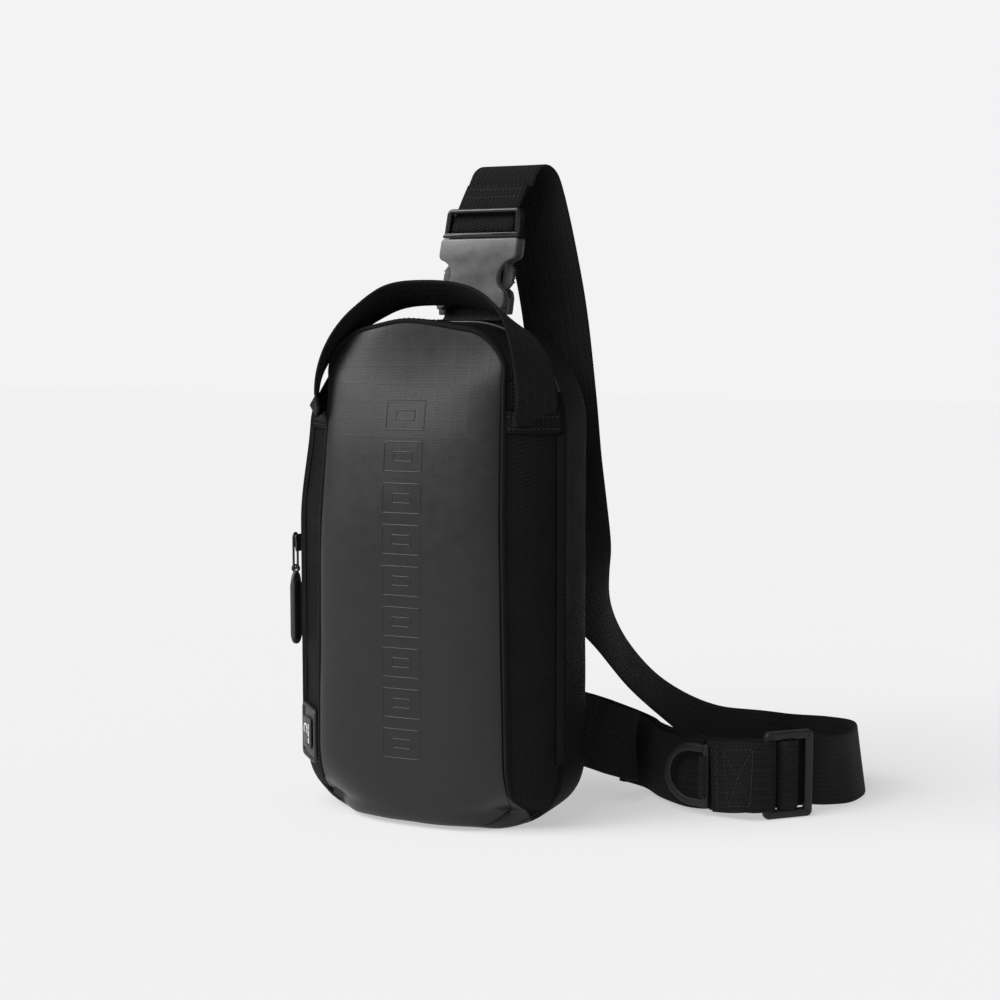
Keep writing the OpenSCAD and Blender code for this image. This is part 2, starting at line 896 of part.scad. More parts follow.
// Half-round outline that ends at the D-ring's bar, with its round end of radius r
module d_outline(r) {
    centre_x = -ring_l + ring_h / 2;
    intersection() {
        union() {
            translate([centre_x, 0])
                circle(r = r, $fn = piece_n);
            translate([centre_x, -r])
                square([ring_l, 2 * r]);
        }
        translate([-ring_l, -ring_h])
            square([ring_l, 2 * ring_h]);
    }
}

// D-ring: a straight bar and a round bow of flat wire
module d_ring() {
    bow_r = ring_h / 2;
    bow_t = 2.4;
    color("#2a2b2d")
        translate([ring_x, ring_y, ring_z])
            rotate([0, 0, ring_turn]) {
                translate([0, 0, -bow_r])
                    cylinder(h = ring_h, r = ring_wire / 2, $fn = piece_n);
                translate([0, bow_t / 2, 0])
                    rotate([90, 0, 0])
                        linear_extrude(bow_t)
                            difference() {
                                d_outline(bow_r);
                                d_outline(bow_r - ring_wire);
                            }
            }
}

// Short webbing tab sewn to the lower back corner, round the ring's bar
module lower_tab() {
    tab_y = back_y + back_pad_t;
    color("#141517")
        difference() {
            translate([corner_x - 14, tab_y, corner_z - 19])
                cube([16.6, corner_ring_y - tab_y + 2.6 + strap_t, 38]);
            translate([corner_x, corner_ring_y, corner_z - 30])
                cylinder(h = 60, r = corner_bar_r, $fn = piece_n);
        }
}

// Rectangular ring that carries the strap's lower end
module lower_ring() {
    ring_w = 14;
    ring_t = 3;
    window_h = 41;
    end_h = 5.5;
    color("#26272a")
        translate([corner_x, corner_ring_y, corner_z]) {
            translate([0, 0, -window_h / 2 - end_h])
                cylinder(h = window_h + 2 * end_h, r = corner_bar_r, $fn = piece_n);
            difference() {
                translate([0, -ring_t / 2, -window_h / 2 - end_h])
                    cube([ring_w - corner_bar_r, ring_t, window_h + 2 * end_h]);
                translate([-1, -ring_t, -window_h / 2])
                    cube([9, 2 * ring_t, window_h]);
            }
        }
}

// ---- the assembly ----
rear_shell();
rear_lining();
back_pad();
slip_pocket();
pocket_hem();
zip_tape_rear();
zip_coil_rear();
front_panel();
panel_foam();
top_gusset();
left_gusset();
right_gusset();
panel_binding();
gusset_hems();
zip_tape_front();
zip_coil_front();
zip_slider();
zip_link();
zip_puller();
port_plate();
port_socket();
port_cover();
handle_ends();
handle();
buckle_loop();
buckle_female();
buckle_male();
prong_left();
prong_right();
strap_fold();
strap_arch();
strap_rear_run();
strap_floor_loop();
strap_back_layer();
strap_front_layer();
strap_sewn_end();
strap_roll();
adjuster_frame();
d_ring();
lower_tab();
lower_ring();
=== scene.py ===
"""Sling bag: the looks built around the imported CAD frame. Sizes in millimetres, scene in metres."""

import math

import bmesh
import bpy
import numpy as np
from mathutils import Euler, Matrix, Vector, noise
from mathutils.bvhtree import BVHTree


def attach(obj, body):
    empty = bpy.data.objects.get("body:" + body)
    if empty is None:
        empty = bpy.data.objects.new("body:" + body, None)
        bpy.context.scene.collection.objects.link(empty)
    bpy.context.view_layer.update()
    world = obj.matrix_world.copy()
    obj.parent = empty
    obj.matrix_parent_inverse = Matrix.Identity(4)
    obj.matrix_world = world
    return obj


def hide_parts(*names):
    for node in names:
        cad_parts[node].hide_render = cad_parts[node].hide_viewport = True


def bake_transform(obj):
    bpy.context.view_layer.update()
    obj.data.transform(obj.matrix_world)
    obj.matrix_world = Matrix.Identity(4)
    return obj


MM = 0.001
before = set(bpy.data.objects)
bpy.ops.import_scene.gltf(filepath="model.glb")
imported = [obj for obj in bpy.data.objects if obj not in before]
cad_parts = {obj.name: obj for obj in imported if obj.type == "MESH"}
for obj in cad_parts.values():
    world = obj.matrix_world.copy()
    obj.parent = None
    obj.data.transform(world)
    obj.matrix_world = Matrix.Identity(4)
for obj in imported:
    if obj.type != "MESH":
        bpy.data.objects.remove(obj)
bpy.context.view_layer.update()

# ---- sizes, the CAD model's own where it has them ----

HALF_W = 79.5
BAG_H = 277.0
SEAM_Y = -4.0
FRONT_SEAM_Y = -4.3
BACK_Y = 36.0
EDGE_Y = -25.0
CROWN = 8.0
TOP_R = 54.0
LOW_R = 35.0
WALL = 3.0
SHEET_T = 1.8
PAD_LOW_Z = 20
PAD_H = 74
PAD_PITCH = 80
PAD_VOXEL = 3.2
GUSSET_TOP_Z = 230.0
ZIP_RISE = 0.3
COIL_PITCH = 1.7
WRAP_X = 61.0
WRAP_SLANT = 0.21
TUCK_LOW_Z = 44.0
TUCK_LOW_END_Z = 11.0
TUCK_HIGH_Z = 238.0
TUCK_HIGH_END_Z = 276.0
ZIP_LOW_Z = 34.0
ZIP_END_RIGHT_Z = 240.0
LADDER_BARS = 9
LADDER_LOW_Z = 40
LADDER_PITCH = 22.5
STRAP_W = 40.0
STRAP_T = 1.5

BUCKLE_ORIGIN = np.array([13.0, 30.0, 284.5])
BUCKLE_LEAN = math.radians(7)

ADJUSTER_ORIGIN = np.array([184.0, 77.4, 25.0])
ADJUSTER_TURN = math.radians(43)
D_RING_ORIGIN = np.array([141.0, 61.0, 23.0])
D_RING_TURN = math.radians(-14)
LOWER_RING_ORIGIN = np.array([54.3, 45.8, 47.0])

PULL_X = -HALF_W - 3 - 1.3 - 2
SLIDER_Z = 152.0
PULLER_Z = 137.0
EYE_R = 1.9
PORT_ORIGIN = np.array([-HALF_W + 9.5, SEAM_Y - 12, 45.0])
PORT_TURN = math.radians(180 - 42)
PORT_LEAN = 0.08

UPRIGHT = [0, 0, 1]
SIDEWAYS = [1, 0, 0]


def keyed(width, points):
    """Keys of a path whose width looks the same way all along."""
    return [[point, width] for point in points]


ARCH_KEYS = keyed(SIDEWAYS, [
    [24.5, 38.3, 353.4], [25.7, 39.4, 358], [27.4, 41.4, 362.6], [30.5, 44.8, 364.8], [34.0, 49.4, 359.5]])
REAR_KEYS = [
    [[37.5, 51.5, 349], [1, 0, -0.1]], [[45, 52.5, 317], [1, 0, -0.1]], [[51, 54.5, 282], [1, 0, -0.1]],
    [[56, 56.5, 235], [1, 0, 0]], [[58, 60, 195], [1, 0.1, 0]], [[60, 66, 155], [0.9, 0.45, 0]],
    [[62, 75, 124], [0.5, 0.85, 0.2]], [[70, 88, 98], [-0.1, 0.9, 0.45]],
    [[80, 107, 72], [-0.3, 0.8, 0.5]], [[97, 130, 47], [-0.4, 0.75, 0.55]],
    [[122, 150, 27], [-0.25, 0.6, 0.75]]]
FLOOR_KEYS = [
    [[155, 162, 20.3], [0, 0.2, 1]], [[185, 165.5, 20.3], [0, 0, 1]], [[203, 161, 20.3], [-0.1, 0, 1]],
    [[210, 145, 20.3], [-0.15, 0, 1]], [[209, 122, 21], [-0.1, 0, 1]], [[202, 104, 23], [0, 0, 1]],
    [[194, 92.5, 25], [0, 0, 1]], [[187, 86, 25], [0, 0, 1]]]
BACK_KEYS = keyed(UPRIGHT, [
    [181, 80.4, 25], [173, 73.2, 25], [160, 72, 24], [144, 75, 22.5], [122, 85, 21.5], [106, 98, 21.5],
    [92, 103, 24], [80, 96, 30], [70, 80, 38], [63, 65, 44], [60.2, 55, 46.6], [59.4, 49, 47],
    [60.4, 44.2, 47], [64.5, 42.5, 47], [68, 44.2, 46.8]])
FRONT_KEYS = keyed(UPRIGHT, [
    [69.7, 48.6, 46.3], [71.4, 52.4, 45], [76, 57, 42], [86, 62, 38], [94, 68, 35], [94, 75, 33],
    [88, 82, 30], [87, 90, 27], [96, 91, 24], [108, 82, 22], [124, 72, 21.5], [134, 68.4, 22],
    [140.8, 67.2, 23]])
FOLD_KEYS = keyed(SIDEWAYS, [
    [24.0, 36.4, 354.6], [21.6, 33, 346], [19.6, 30, 338], [19.1, 28.1, 333.6], [18.65, 27.3, 330.4],
    [18.4, 28.1, 328.2], [18.3, 30, 327.4], [18.4, 31.9, 328.2], [18.65, 32.7, 330.4], [19.3, 33.2, 336],
    [21.4, 35.3, 346], [24.2, 38.1, 352.6]])
SEWN_FRONT_KEYS = keyed(UPRIGHT, [
    [144.4, 61.3, 23], [153, 60.4, 23.5], [163, 59.4, 25], [170, 60.9, 25], [175, 64.6, 25],
    [177.9, 67.5, 25], [178.6, 69.6, 25], [178, 71.6, 25]])
SEWN_REAR_KEYS = keyed(UPRIGHT, [
    [141.6, 64.9, 23], [150, 62.4, 23.5], [162, 61.1, 25], [168, 62, 25], [171.6, 64.6, 25]])


# ---- meshes ----

def keep_modifiers(obj):
    """Turns the object's modifiers into its final mesh."""
    graph = bpy.context.evaluated_depsgraph_get()
    final = bpy.data.meshes.new_from_object(obj.evaluated_get(graph))
    obj.modifiers.clear()
    obj.data = final
    return obj


def mesh_piece(name, points, faces, uvs, materials, sharp=40, outward=True):
    """An object from points in millimetres, faces and their UVs, with one or more materials."""
    mesh = bpy.data.meshes.new(name)
    mesh.from_pydata((np.asarray(points, float) * MM).tolist(), [], [list(f) for f in faces])
    layer = mesh.uv_layers.new(name="UVMap")
    layer.data.foreach_set("uv", np.array([c for face in uvs for c in face], np.float32).ravel())
    mesh.update()
    obj = bpy.data.objects.new(name, mesh)
    bpy.context.scene.collection.objects.link(obj)
    for material in materials:
        mesh.materials.append(material)
    if outward:
        face_outwards(mesh)
    smooth(obj, sharp)
    return obj


def rework(mesh, change):
    """Opens a mesh for editing, makes one change to it and writes it back."""
    work = bmesh.new()
    work.from_mesh(mesh)
    change(work)
    work.to_mesh(mesh)
    work.free()


def face_outwards(mesh):
    """Makes the faces of a closed mesh look outwards."""
    rework(mesh, lambda work: bmesh.ops.recalc_face_normals(work, faces=work.faces))


def smooth(obj, sharp=40):
    """Smooth shading that keeps edges sharper than an angle in degrees."""
    obj.data.polygons.foreach_set("use_smooth", [True] * len(obj.data.polygons))
    obj.data.set_sharp_from_angle(angle=math.radians(sharp))
    return obj


def distances(points):
    """How far along a polyline each of its points is."""
    return np.concatenate([[0], np.cumsum(np.linalg.norm(np.diff(points, axis=0), axis=1))])


def value_at(at, distance, values):
    """The point, or any value given for each point of a polyline, at a distance along it."""
    return np.array([np.interp(at, distance, column) for column in values.T])


def run_of(path, closed=False):
    """Unit directions along a path."""
    run = np.roll(path, -1, 0) - np.roll(path, 1, 0) if closed else np.gradient(path, axis=0)
    return run / np.linalg.norm(run, axis=1)[:, None]


def loft(rings, around=False, caps=False):
    """Points, faces and UVs in millimetres of a sheet through rings of points."""
    rings = np.asarray(rings, float)
    count, size = rings.shape[:2]
    middle = rings[count // 2]
    u = distances(np.vstack([middle, middle[:1]]))
    v = np.concatenate([[0], np.cumsum(np.linalg.norm(np.diff(rings, axis=0), axis=2).mean(1))])
    faces = []
    uvs = []
    for i in range(count - 1):
        for j in range(size if around else size - 1):
            k = (j + 1) % size
            faces.append((i * size + j, i * size + k, (i + 1) * size + k, (i + 1) * size + j))
            uvs.append(((u[j], v[i]), (u[j + 1], v[i]), (u[j + 1], v[i + 1]), (u[j], v[i + 1])))
    if caps:
        for i in (0, count - 1):
            faces.append(tuple(i * size + j for j in range(size)))
            uvs.append(tuple((u[j], v[i]) for j in range(size)))
    return rings.reshape(-1, 3), faces, uvs


def lofted(name, rings, materials, around=False, caps=False, sharp=40, outward=True):
    """An object lofted through rings."""
    points, faces, uvs = loft(rings, around, caps)
    return mesh_piece(name, points, faces, uvs, materials, sharp, outward)


def join(name, objects):
    """Joins objects into one and names it."""
    with bpy.context.temp_override(active_object=objects[0], selected_editable_objects=objects):
        bpy.ops.object.join()
    objects[0].name = name
    return objects[0]


def solid_sheet(obj, thickness, lining=0):
    """Gives an open sheet a thickness on its inner side, lined with another of its materials."""
    wall = obj.modifiers.new("wall", "SOLIDIFY")
    wall.thickness = thickness * MM
    wall.offset = -1
    wall.material_offset = lining
    keep_modifiers(obj)


def bevelled(obj, width, segments=3, angle=30):
    """Rounds the object's sharp edges."""
    edge = obj.modifiers.new("edge", "BEVEL")
    edge.width = width * MM
    edge.segments = segments
    edge.limit_method = "ANGLE"
    edge.angle_limit = math.radians(angle)
    edge.use_clamp_overlap = True
    return smooth(keep_modifiers(obj), 50)


def cut_away(obj, point, normal):
    """Removes the part of an open sheet on the side of a plane that its normal looks to."""
    rework(obj.data, lambda work: bmesh.ops.bisect_plane(
        work, geom=work.verts[:] + work.edges[:] + work.faces[:], plane_co=Vector(point) * MM,
        plane_no=Vector(normal), clear_outer=True))


def rumple(obj, height, size, seed):
    """Moves the points along their normals by a soft noise, like cloth that has been handled."""
    mesh = obj.data
    shift = Vector((seed, seed * 0.7, seed * 1.3))
    for vertex in mesh.vertices:
        wave = noise.noise(vertex.co / (size * MM) + shift)
        vertex.co += vertex.normal * (wave * height * MM)
    mesh.update()


def slab(name, outline, y0, y1, materials, bevel=0.5, segments=3):
    """An outline in XZ given a thickness in Y, with rounded edges."""
    rings = [[(x, y, z) for x, z in outline] for y in (y0, y1)]
    obj = lofted(name, rings, materials, around=True, caps=True, sharp=30)
    return bevelled(obj, bevel, segments) if bevel else obj


def sweep(name, path, across, section, materials, closed=False, up=None, sharp=40):
    """A section of (across, up) points swept along a path. One across or up can serve the whole path."""
    path = np.asarray(path, float)
    across = np.broadcast_to(np.asarray(across, float), path.shape)
    if up is None:
        run = run_of(path, closed)
        across = across - run * (across * run).sum(1)[:, None]
        across /= np.linalg.norm(across, axis=1)[:, None]
        up = np.cross(run, across)
    up = np.broadcast_to(np.asarray(up, float), path.shape)
    rings = path[:, None] + across[:, None] * section[None, :, :1] + up[:, None] * section[None, :, 1:]
    if closed:
        rings = np.concatenate([rings, rings[:1]])
    points, faces, uvs = loft(rings, around=True, caps=not closed)
    if closed:
        last = len(rings) - 1
        size = len(section)
        faces = [tuple(i if i < last * size else i - last * size for i in f) for f in faces]
        points = points[:last * size]
    return mesh_piece(name, points, faces, uvs, materials, sharp)


def flat_wire(name, points, section, materials, y=0.0, side=1.0, closed=True, sharp=80):
    """A wire along (x, z) points in an upright plane; the section's first measure lies in that plane."""
    path = upright_ring(np.array(points, float), y)
    up = np.broadcast_to([0.0, side, 0.0], path.shape)
    across = np.cross(up, run_of(path, closed))
    return sweep(name, path, across, section, materials, closed=closed, up=up, sharp=sharp)


def round_section(radius_a, radius_b, count=12):
    """Points round an ellipse."""
    angles = np.linspace(0, 2 * math.pi, count, endpoint=False)
    return np.stack([radius_a * np.cos(angles), radius_b * np.sin(angles)], 1)


def block_section(width, height, corner, steps=3):
    """Points round a rectangle with round corners, centred."""
    points = []
    for number, (sx, sy) in enumerate(((1, 1), (-1, 1), (-1, -1), (1, -1))):
        for step in range(steps + 1):
            angle = math.radians(90 * number + 90 * step / steps)
            points.append((sx * (width / 2 - corner) + corner * math.cos(angle),
                           sy * (height / 2 - corner) + corner * math.sin(angle)))
    return np.array(points)


# ---- curves ----

def smooth_path(keys, steps):
    """Centres and width directions along keys, by the same spline as the CAD model."""
    keys = np.array([[*centre, *width] for centre, width in keys], float)
    padded = np.vstack([2 * keys[0] - keys[1], keys, 2 * keys[-1] - keys[-2]])
    out = []
    for i in range(len(keys) - 1):
        a, b, c, d = padded[i:i + 4]
        for t in np.arange(steps) / steps:
            out.append(0.5 * (2 * b + (c - a) * t + (2 * a - 5 * b + 4 * c - d) * t ** 2
                              + (3 * b - a - 3 * c + d) * t ** 3))
    out = np.array(out + [keys[-1]])
    return out[:, :3], out[:, 3:]


class Ribbon:
    """Webbing along a path: knows its own surface, so that stitches can be set on it."""

    def __init__(self, centres, widths, width=STRAP_W, thick=STRAP_T, level=0.0):
        self.centres = np.asarray(centres, float)
        widths = np.broadcast_to(np.asarray(widths, float), self.centres.shape)
        self.run = run_of(self.centres)
        across = widths - self.run * (widths * self.run).sum(1)[:, None] * (1 - np.reshape(level, (-1, 1)))
        self.across = across / np.linalg.norm(across, axis=1)[:, None]
        self.up = np.cross(self.run, self.across)
        self.up /= np.linalg.norm(self.up, axis=1)[:, None]
        self.width = width
        self.thick = thick
        self.distance = distances(self.centres)

    def at(self, distance, offset, side=1, lift=0.0):
        """Point on one face, and the face's normal."""
        centre, across, up = (value_at(distance, self.distance, part)
                              for part in (self.centres, self.across, self.up))
        normal = up * side
        return centre + across * offset + normal * (self.thick / 2 + lift), normal

    def part(self, first, last):
        """The stretch between two of the path's points."""
        piece = Ribbon(self.centres, self.across, self.width, self.thick)
        for key in ("centres", "run", "across", "up", "distance"):
            setattr(piece, key, getattr(self, key)[first:last + 1])
        piece.distance = piece.distance - piece.distance[0]
        return piece

    def build(self, name, materials):
        """The webbing's mesh, with soft selvages."""
        shares = np.array([-1, -0.985, -0.94, -0.75, -0.5, -0.25, 0, 0.25, 0.5, 0.75, 0.94, 0.985, 1])
        heights = np.array([0, 0.62, 1, 1, 1, 1, 1, 1, 1, 1, 1, 0.62, 0])
        top = np.stack([shares * self.width / 2, heights * self.thick / 2], 1)
        low = np.stack([shares[::-1] * self.width / 2, -heights[::-1] * self.thick / 2], 1)[1:-1]
        section = np.vstack([top, low])
        return sweep(name, self.centres, self.across, section, materials, up=self.up, sharp=60)

    def line(self, points, side=1, lift=0.1):
        """A polyline given as (distance, offset), set on one face."""
        return [self.at(d, o, side, lift) for d, o in points]


def outline(half_top, half_low, z_low, z_high, r_top, r_low, arc_n=16, straight=(26, 48, 26, 48)):
    """Upright outline as (x, z) points, from the upper right corner round by the left."""
    corners = [(half_top - r_top, z_high - r_top, r_top, 0), (r_top - half_top, z_high - r_top, r_top, 90),
               (r_low - half_low, z_low + r_low, r_low, 180), (half_low - r_low, z_low + r_low, r_low, 270)]
    arcs = []
    for x, z, radius, start in corners:
        angles = np.radians(np.linspace(start, start + 90, arc_n + 1))
        arcs.append(np.stack([x + radius * np.cos(angles), z + radius * np.sin(angles)], 1))
    out = []
    for number, arc in enumerate(arcs):
        out.append(arc)
        following = arcs[(number + 1) % 4][0]
        shares = np.linspace(0, 1, straight[number] + 2)[1:-1, None]
        out.append(arc[-1] + (following - arc[-1]) * shares)
    return np.concatenate(out)


def seam_outline(inset=0.0):
    """The seam between the two halves, or an outline further in."""
    return outline(HALF_W - inset, HALF_W - inset, max(inset, 0), BAG_H - inset,
                   max(TOP_R - inset, 2), max(LOW_R - inset, 2))


def panel_outline(inset=0.0):
    """The front panel's edge, or an outline further in."""
    return outline(55 - inset, 59 - inset, 3 + inset, 276 - inset,
                   max(25 - inset * 0.5, 2), max(20 - inset * 0.3, 2))


def upright_ring(points, y):
    """An outline in XZ as a ring of points at a depth."""
    return np.stack([points[:, 0], np.full(len(points), float(y)), points[:, 1]], 1)


def outward_of(points):
    """Outward normals of an outline in XZ."""
    run = run_of(points, closed=True)
    return np.stack([run[:, 1], -run[:, 0]], 1)


def open_run(points, keep):
    """The kept stretch of a closed outline in XZ, in order, with its outward normals."""
    first = np.argmax(keep & ~np.roll(keep, 1))
    order = np.roll(np.arange(len(points)), -first)
    order = order[keep[order]]
    return points[order], outward_of(points)[order]


def to_spine(points, reach):
    """For each outline point, the point on the upright middle line that it closes in to."""
    low = points[:, 1].min() + reach
    high = points[:, 1].max() - reach
    return np.stack([np.zeros(len(points)), np.clip(points[:, 1], low, high)], 1)


def in_buckle(points):
    """Points of the buckle's own frame, set in the scene's."""
    points = np.array(points, float)
    points[:, 0] += points[:, 2] * math.tan(BUCKLE_LEAN)
    return points + BUCKLE_ORIGIN


def turned_about_z(points, origin, angle):
    """Points of a frame turned about the upright axis and set at an origin."""
    turn = np.array(Euler((0, 0, angle)).to_matrix())
    return np.asarray(points, float) @ turn.T + origin


def place(obj, transform):
    """Moves a mesh given in a part's own frame, in millimetres, into the scene's frame."""
    points = np.array([v.co for v in obj.data.vertices], float) / MM
    obj.data.vertices.foreach_set("co", (transform(points) * MM).astype(np.float32).ravel())
    obj.data.update()
    return obj


# ---- stitches ----

def stitch_mesh(name, stitches, material, radius=0.3):
    """Small raised threads, each given by its middle, its half length along the row, and the normal."""
    points = []
    faces = []
    uvs = []
    ring = round_section(1, 1, 6)
    for middle, half, normal in stitches:
        side = np.cross(half / np.linalg.norm(half), normal)
        first = len(points)
        for share, size in ((-1, 0.35), (-0.6, 1), (0.6, 1), (1, 0.35)):
            for a, b in ring:
                points.append(middle + half * share + (side * a + normal * b) * radius * size)
        for i in range(3):
            for j in range(6):
                k = (j + 1) % 6
                faces.append((first + 6 * i + j, first + 6 * i + k,
                              first + 6 * i + 6 + k, first + 6 * i + 6 + j))
        faces.append(tuple(first + j for j in range(6)))
        faces.append(tuple(first + 18 + j for j in range(6)))
        uvs += [((0, 0), (1, 0), (1, 1), (0, 1))] * 18 + [((0, 0),) * 6] * 2
    return mesh_piece(name, points, faces, uvs, [material], 80)


def stitches_along(line, pitch=2.6, share=0.36):
    """Stitches evenly along a line of (point, normal)."""
    points = np.array([p for p, _ in line])
    normals = np.array([n for _, n in line])
    distance = distances(points)
    out = []
    for at in np.arange(pitch / 2, distance[-1], pitch):
        ahead = value_at(min(at + 0.5, distance[-1]), distance, points)
        behind = value_at(max(at - 0.5, 0), distance, points)
        normal = value_at(at, distance, normals)
        run = (ahead - behind) / np.linalg.norm(ahead - behind)
        out.append((value_at(at, distance, points), run * pitch * share, normal / np.linalg.norm(normal)))
    return out


def zigzag(ribbon, distance, height, side, margin=2.0, pitch=2.2):
    """A zigzag row across a ribbon."""
    half = ribbon.width / 2 - margin
    count = int(2 * half / pitch)
    offsets = np.linspace(-half, half, count + 1)
    places = [ribbon.at(distance + height / 2 * (-1) ** i, offset, side, 0.05)
              for i, offset in enumerate(offsets)]
    return [((p + q) / 2, (q - p) * 0.46, n) for (p, n), (q, _) in zip(places, places[1:])]


# ---- materials ----

CLOTH_GLOSS = 0.05
GRID_PITCH = 9.6


class Nodes:
    """A material under construction."""

    def __init__(self, name, colour, roughness, **sockets):
        self.material = bpy.data.materials.new(name)
        self.material.use_nodes = True
        self.tree = self.material.node_tree
        self.shader = self.tree.nodes["Principled BSDF"]
        self.shader.inputs["Base Color"].default_value = (*colour, 1)
        self.shader.inputs["Roughness"].default_value = roughness
        for socket, value in sockets.items():
            self.shader.inputs[socket.replace("_", " ")].default_value = value
        self.colour = colour
        coordinates = self.tree.nodes.new("ShaderNodeTexCoord")
        self.uv = coordinates.outputs["UV"]
        self.place = coordinates.outputs["Object"]

    def node(self, kind, inputs=(), **settings):
        made = self.tree.nodes.new(kind)
        for key, value in settings.items():
            setattr(made, key, value)
        for number, value in enumerate(inputs):
            if value is None:
                continue
            if hasattr(value, "is_linked"):
                self.tree.links.new(value, made.inputs[number])
            else:
                made.inputs[number].default_value = value
        return made

    def math(self, operation, *inputs):
        return self.node("ShaderNodeMath", inputs, operation=operation).outputs[0]

    def noise(self, scale, detail=3.0, vector=None, roughness=0.5):
        made = self.node("ShaderNodeTexNoise")
        made.inputs["Scale"].default_value = scale
        made.inputs["Detail"].default_value = detail
        made.inputs["Roughness"].default_value = roughness
        self.tree.links.new(vector or self.place, made.inputs["Vector"])
        return made.outputs["Fac"]

    def split_uv(self):
        split = self.node("ShaderNodeSeparateXYZ", [self.uv])
        return split.outputs[0], split.outputs[1]

    def ridge(self, value, pitch):
        """|sin| waves of a pitch in millimetres."""
        angle = self.math("MULTIPLY", value, math.pi / pitch)
        return self.math("ABSOLUTE", self.math("SINE", angle))

    def tint(self, factor, dark, light):
        """Colours the base from dark to light shares of the material's colour."""
        ramp = self.node("ShaderNodeValToRGB", [factor])
        low, high = ramp.color_ramp.elements
        low.color = (*(c * dark for c in self.colour), 1)
        high.color = (*(c * light for c in self.colour), 1)
        self.tree.links.new(ramp.outputs[0], self.shader.inputs["Base Color"])

    def vary_roughness(self, factor, low, high):
        spread = self.node("ShaderNodeMapRange", [factor, 0.3, 0.7, low, high])
        self.tree.links.new(spread.outputs[0], self.shader.inputs["Roughness"])

    def bump(self, height, distance, strength=1.0, under=None):
        """Bump of a height map, distance in millimetres. Returns its normal."""
        made = self.node("ShaderNodeBump")
        made.inputs["Strength"].default_value = strength
        made.inputs["Distance"].default_value = distance * MM
        self.tree.links.new(height, made.inputs["Height"])
        if under is not None:
            self.tree.links.new(under, made.inputs["Normal"])
        self.tree.links.new(made.outputs[0], self.shader.inputs["Normal"])
        return made.outputs[0]


def cloth_nodes(name, colour, roughness, sheen=0.02, sheen_roughness=0.5):
    """A cloth's material under construction."""
    return Nodes(name, colour, roughness, Sheen_Weight=sheen, Sheen_Roughness=sheen_roughness,
                 Specular_IOR_Level=CLOTH_GLOSS)


def plain_weave(name, colour, pitch, depth, roughness, sheen=0.0, spread=(0.3, 2.6)):
    """Over-and-under weave of round yarns, with soft unevenness between them."""
    n = cloth_nodes(name, colour, roughness, sheen)
    u, v = n.split_uv()
    checks = n.node("ShaderNodeTexChecker")
    n.tree.links.new(n.uv, checks.inputs["Vector"])
    checks.inputs["Scale"].default_value = 1 / pitch
    over = checks.outputs["Fac"]
    warp = n.ridge(u, pitch)
    weft = n.ridge(v, pitch)
    height = n.node("ShaderNodeMix", [over, None, warp, weft]).outputs[0]
    cloudy = n.noise(60, 4)
    fibres = n.noise(1400, 2)
    mixed = n.math("MULTIPLY_ADD", fibres, 0.35, height)
    # Colour from the yarns' height, lighter on the crests and darker in the gaps, is painted highlight and
    # painted shade; the cloudy part is random tone.
    painted_yarn_shade_and_tone = n.math("MULTIPLY_ADD", height, 0.55, n.math("MULTIPLY", cloudy, 0.55))
    n.tint(painted_yarn_shade_and_tone, *spread)
    n.vary_roughness(cloudy, roughness - 0.06, roughness + 0.06)
    n.bump(mixed, depth)
    return n.material


def webbing_material(name, colour, rib=1.35, column=2.6, depth=0.45, roughness=0.62):
    """Ribbed webbing: columns of short ribs that step from one column to the next."""
    n = cloth_nodes(name, colour, roughness, sheen_roughness=0.45)
    u, v = n.split_uv()
    columns = n.math("FLOOR", n.math("DIVIDE", u, column))
    step = n.math("MULTIPLY", n.math("MODULO", columns, 2.0), rib / 2)
    lean = n.math("MULTIPLY", n.math("PINGPONG", u, column), 0.35)
    ribs = n.ridge(n.math("ADD", n.math("ADD", v, step), lean), rib)
    gaps = n.math("POWER", n.ridge(u, column), 0.25)
    height = n.math("MULTIPLY", ribs, gaps)
    fibres = n.noise(1600, 2)
    cloudy = n.noise(45, 3)
    # Colour from the ribs' height, lighter on the crests and darker in the grooves and column gaps, is
    # painted highlight and painted shade; the cloudy part is random tone.
    n.tint(n.math("MULTIPLY_ADD", height, 0.7, n.math("MULTIPLY", cloudy, 0.45)), 0.25, 2.2)
    n.vary_roughness(cloudy, roughness - 0.07, roughness + 0.05)
    n.bump(n.math("MULTIPLY_ADD", fibres, 0.25, height), depth)
    return n.material


def twill_material(name, colour, pitch=1.1, depth=0.2):
    """Narrow tape with slanting ribs."""
    n = cloth_nodes(name, colour, 0.66)
    u, v = n.split_uv()
    height = n.ridge(n.math("ADD", u, v), pitch)
    # Colour from the ribs' height, lighter on the crests and darker between them, is painted highlight and
    # painted shade; the noise part is random tone.
    n.tint(n.math("MULTIPLY_ADD", height, 0.6, n.math("MULTIPLY", n.noise(90), 0.5)), 0.6, 1.6)
    n.bump(n.math("MULTIPLY_ADD", n.noise(1500, 2), 0.3, height), depth)
    return n.material


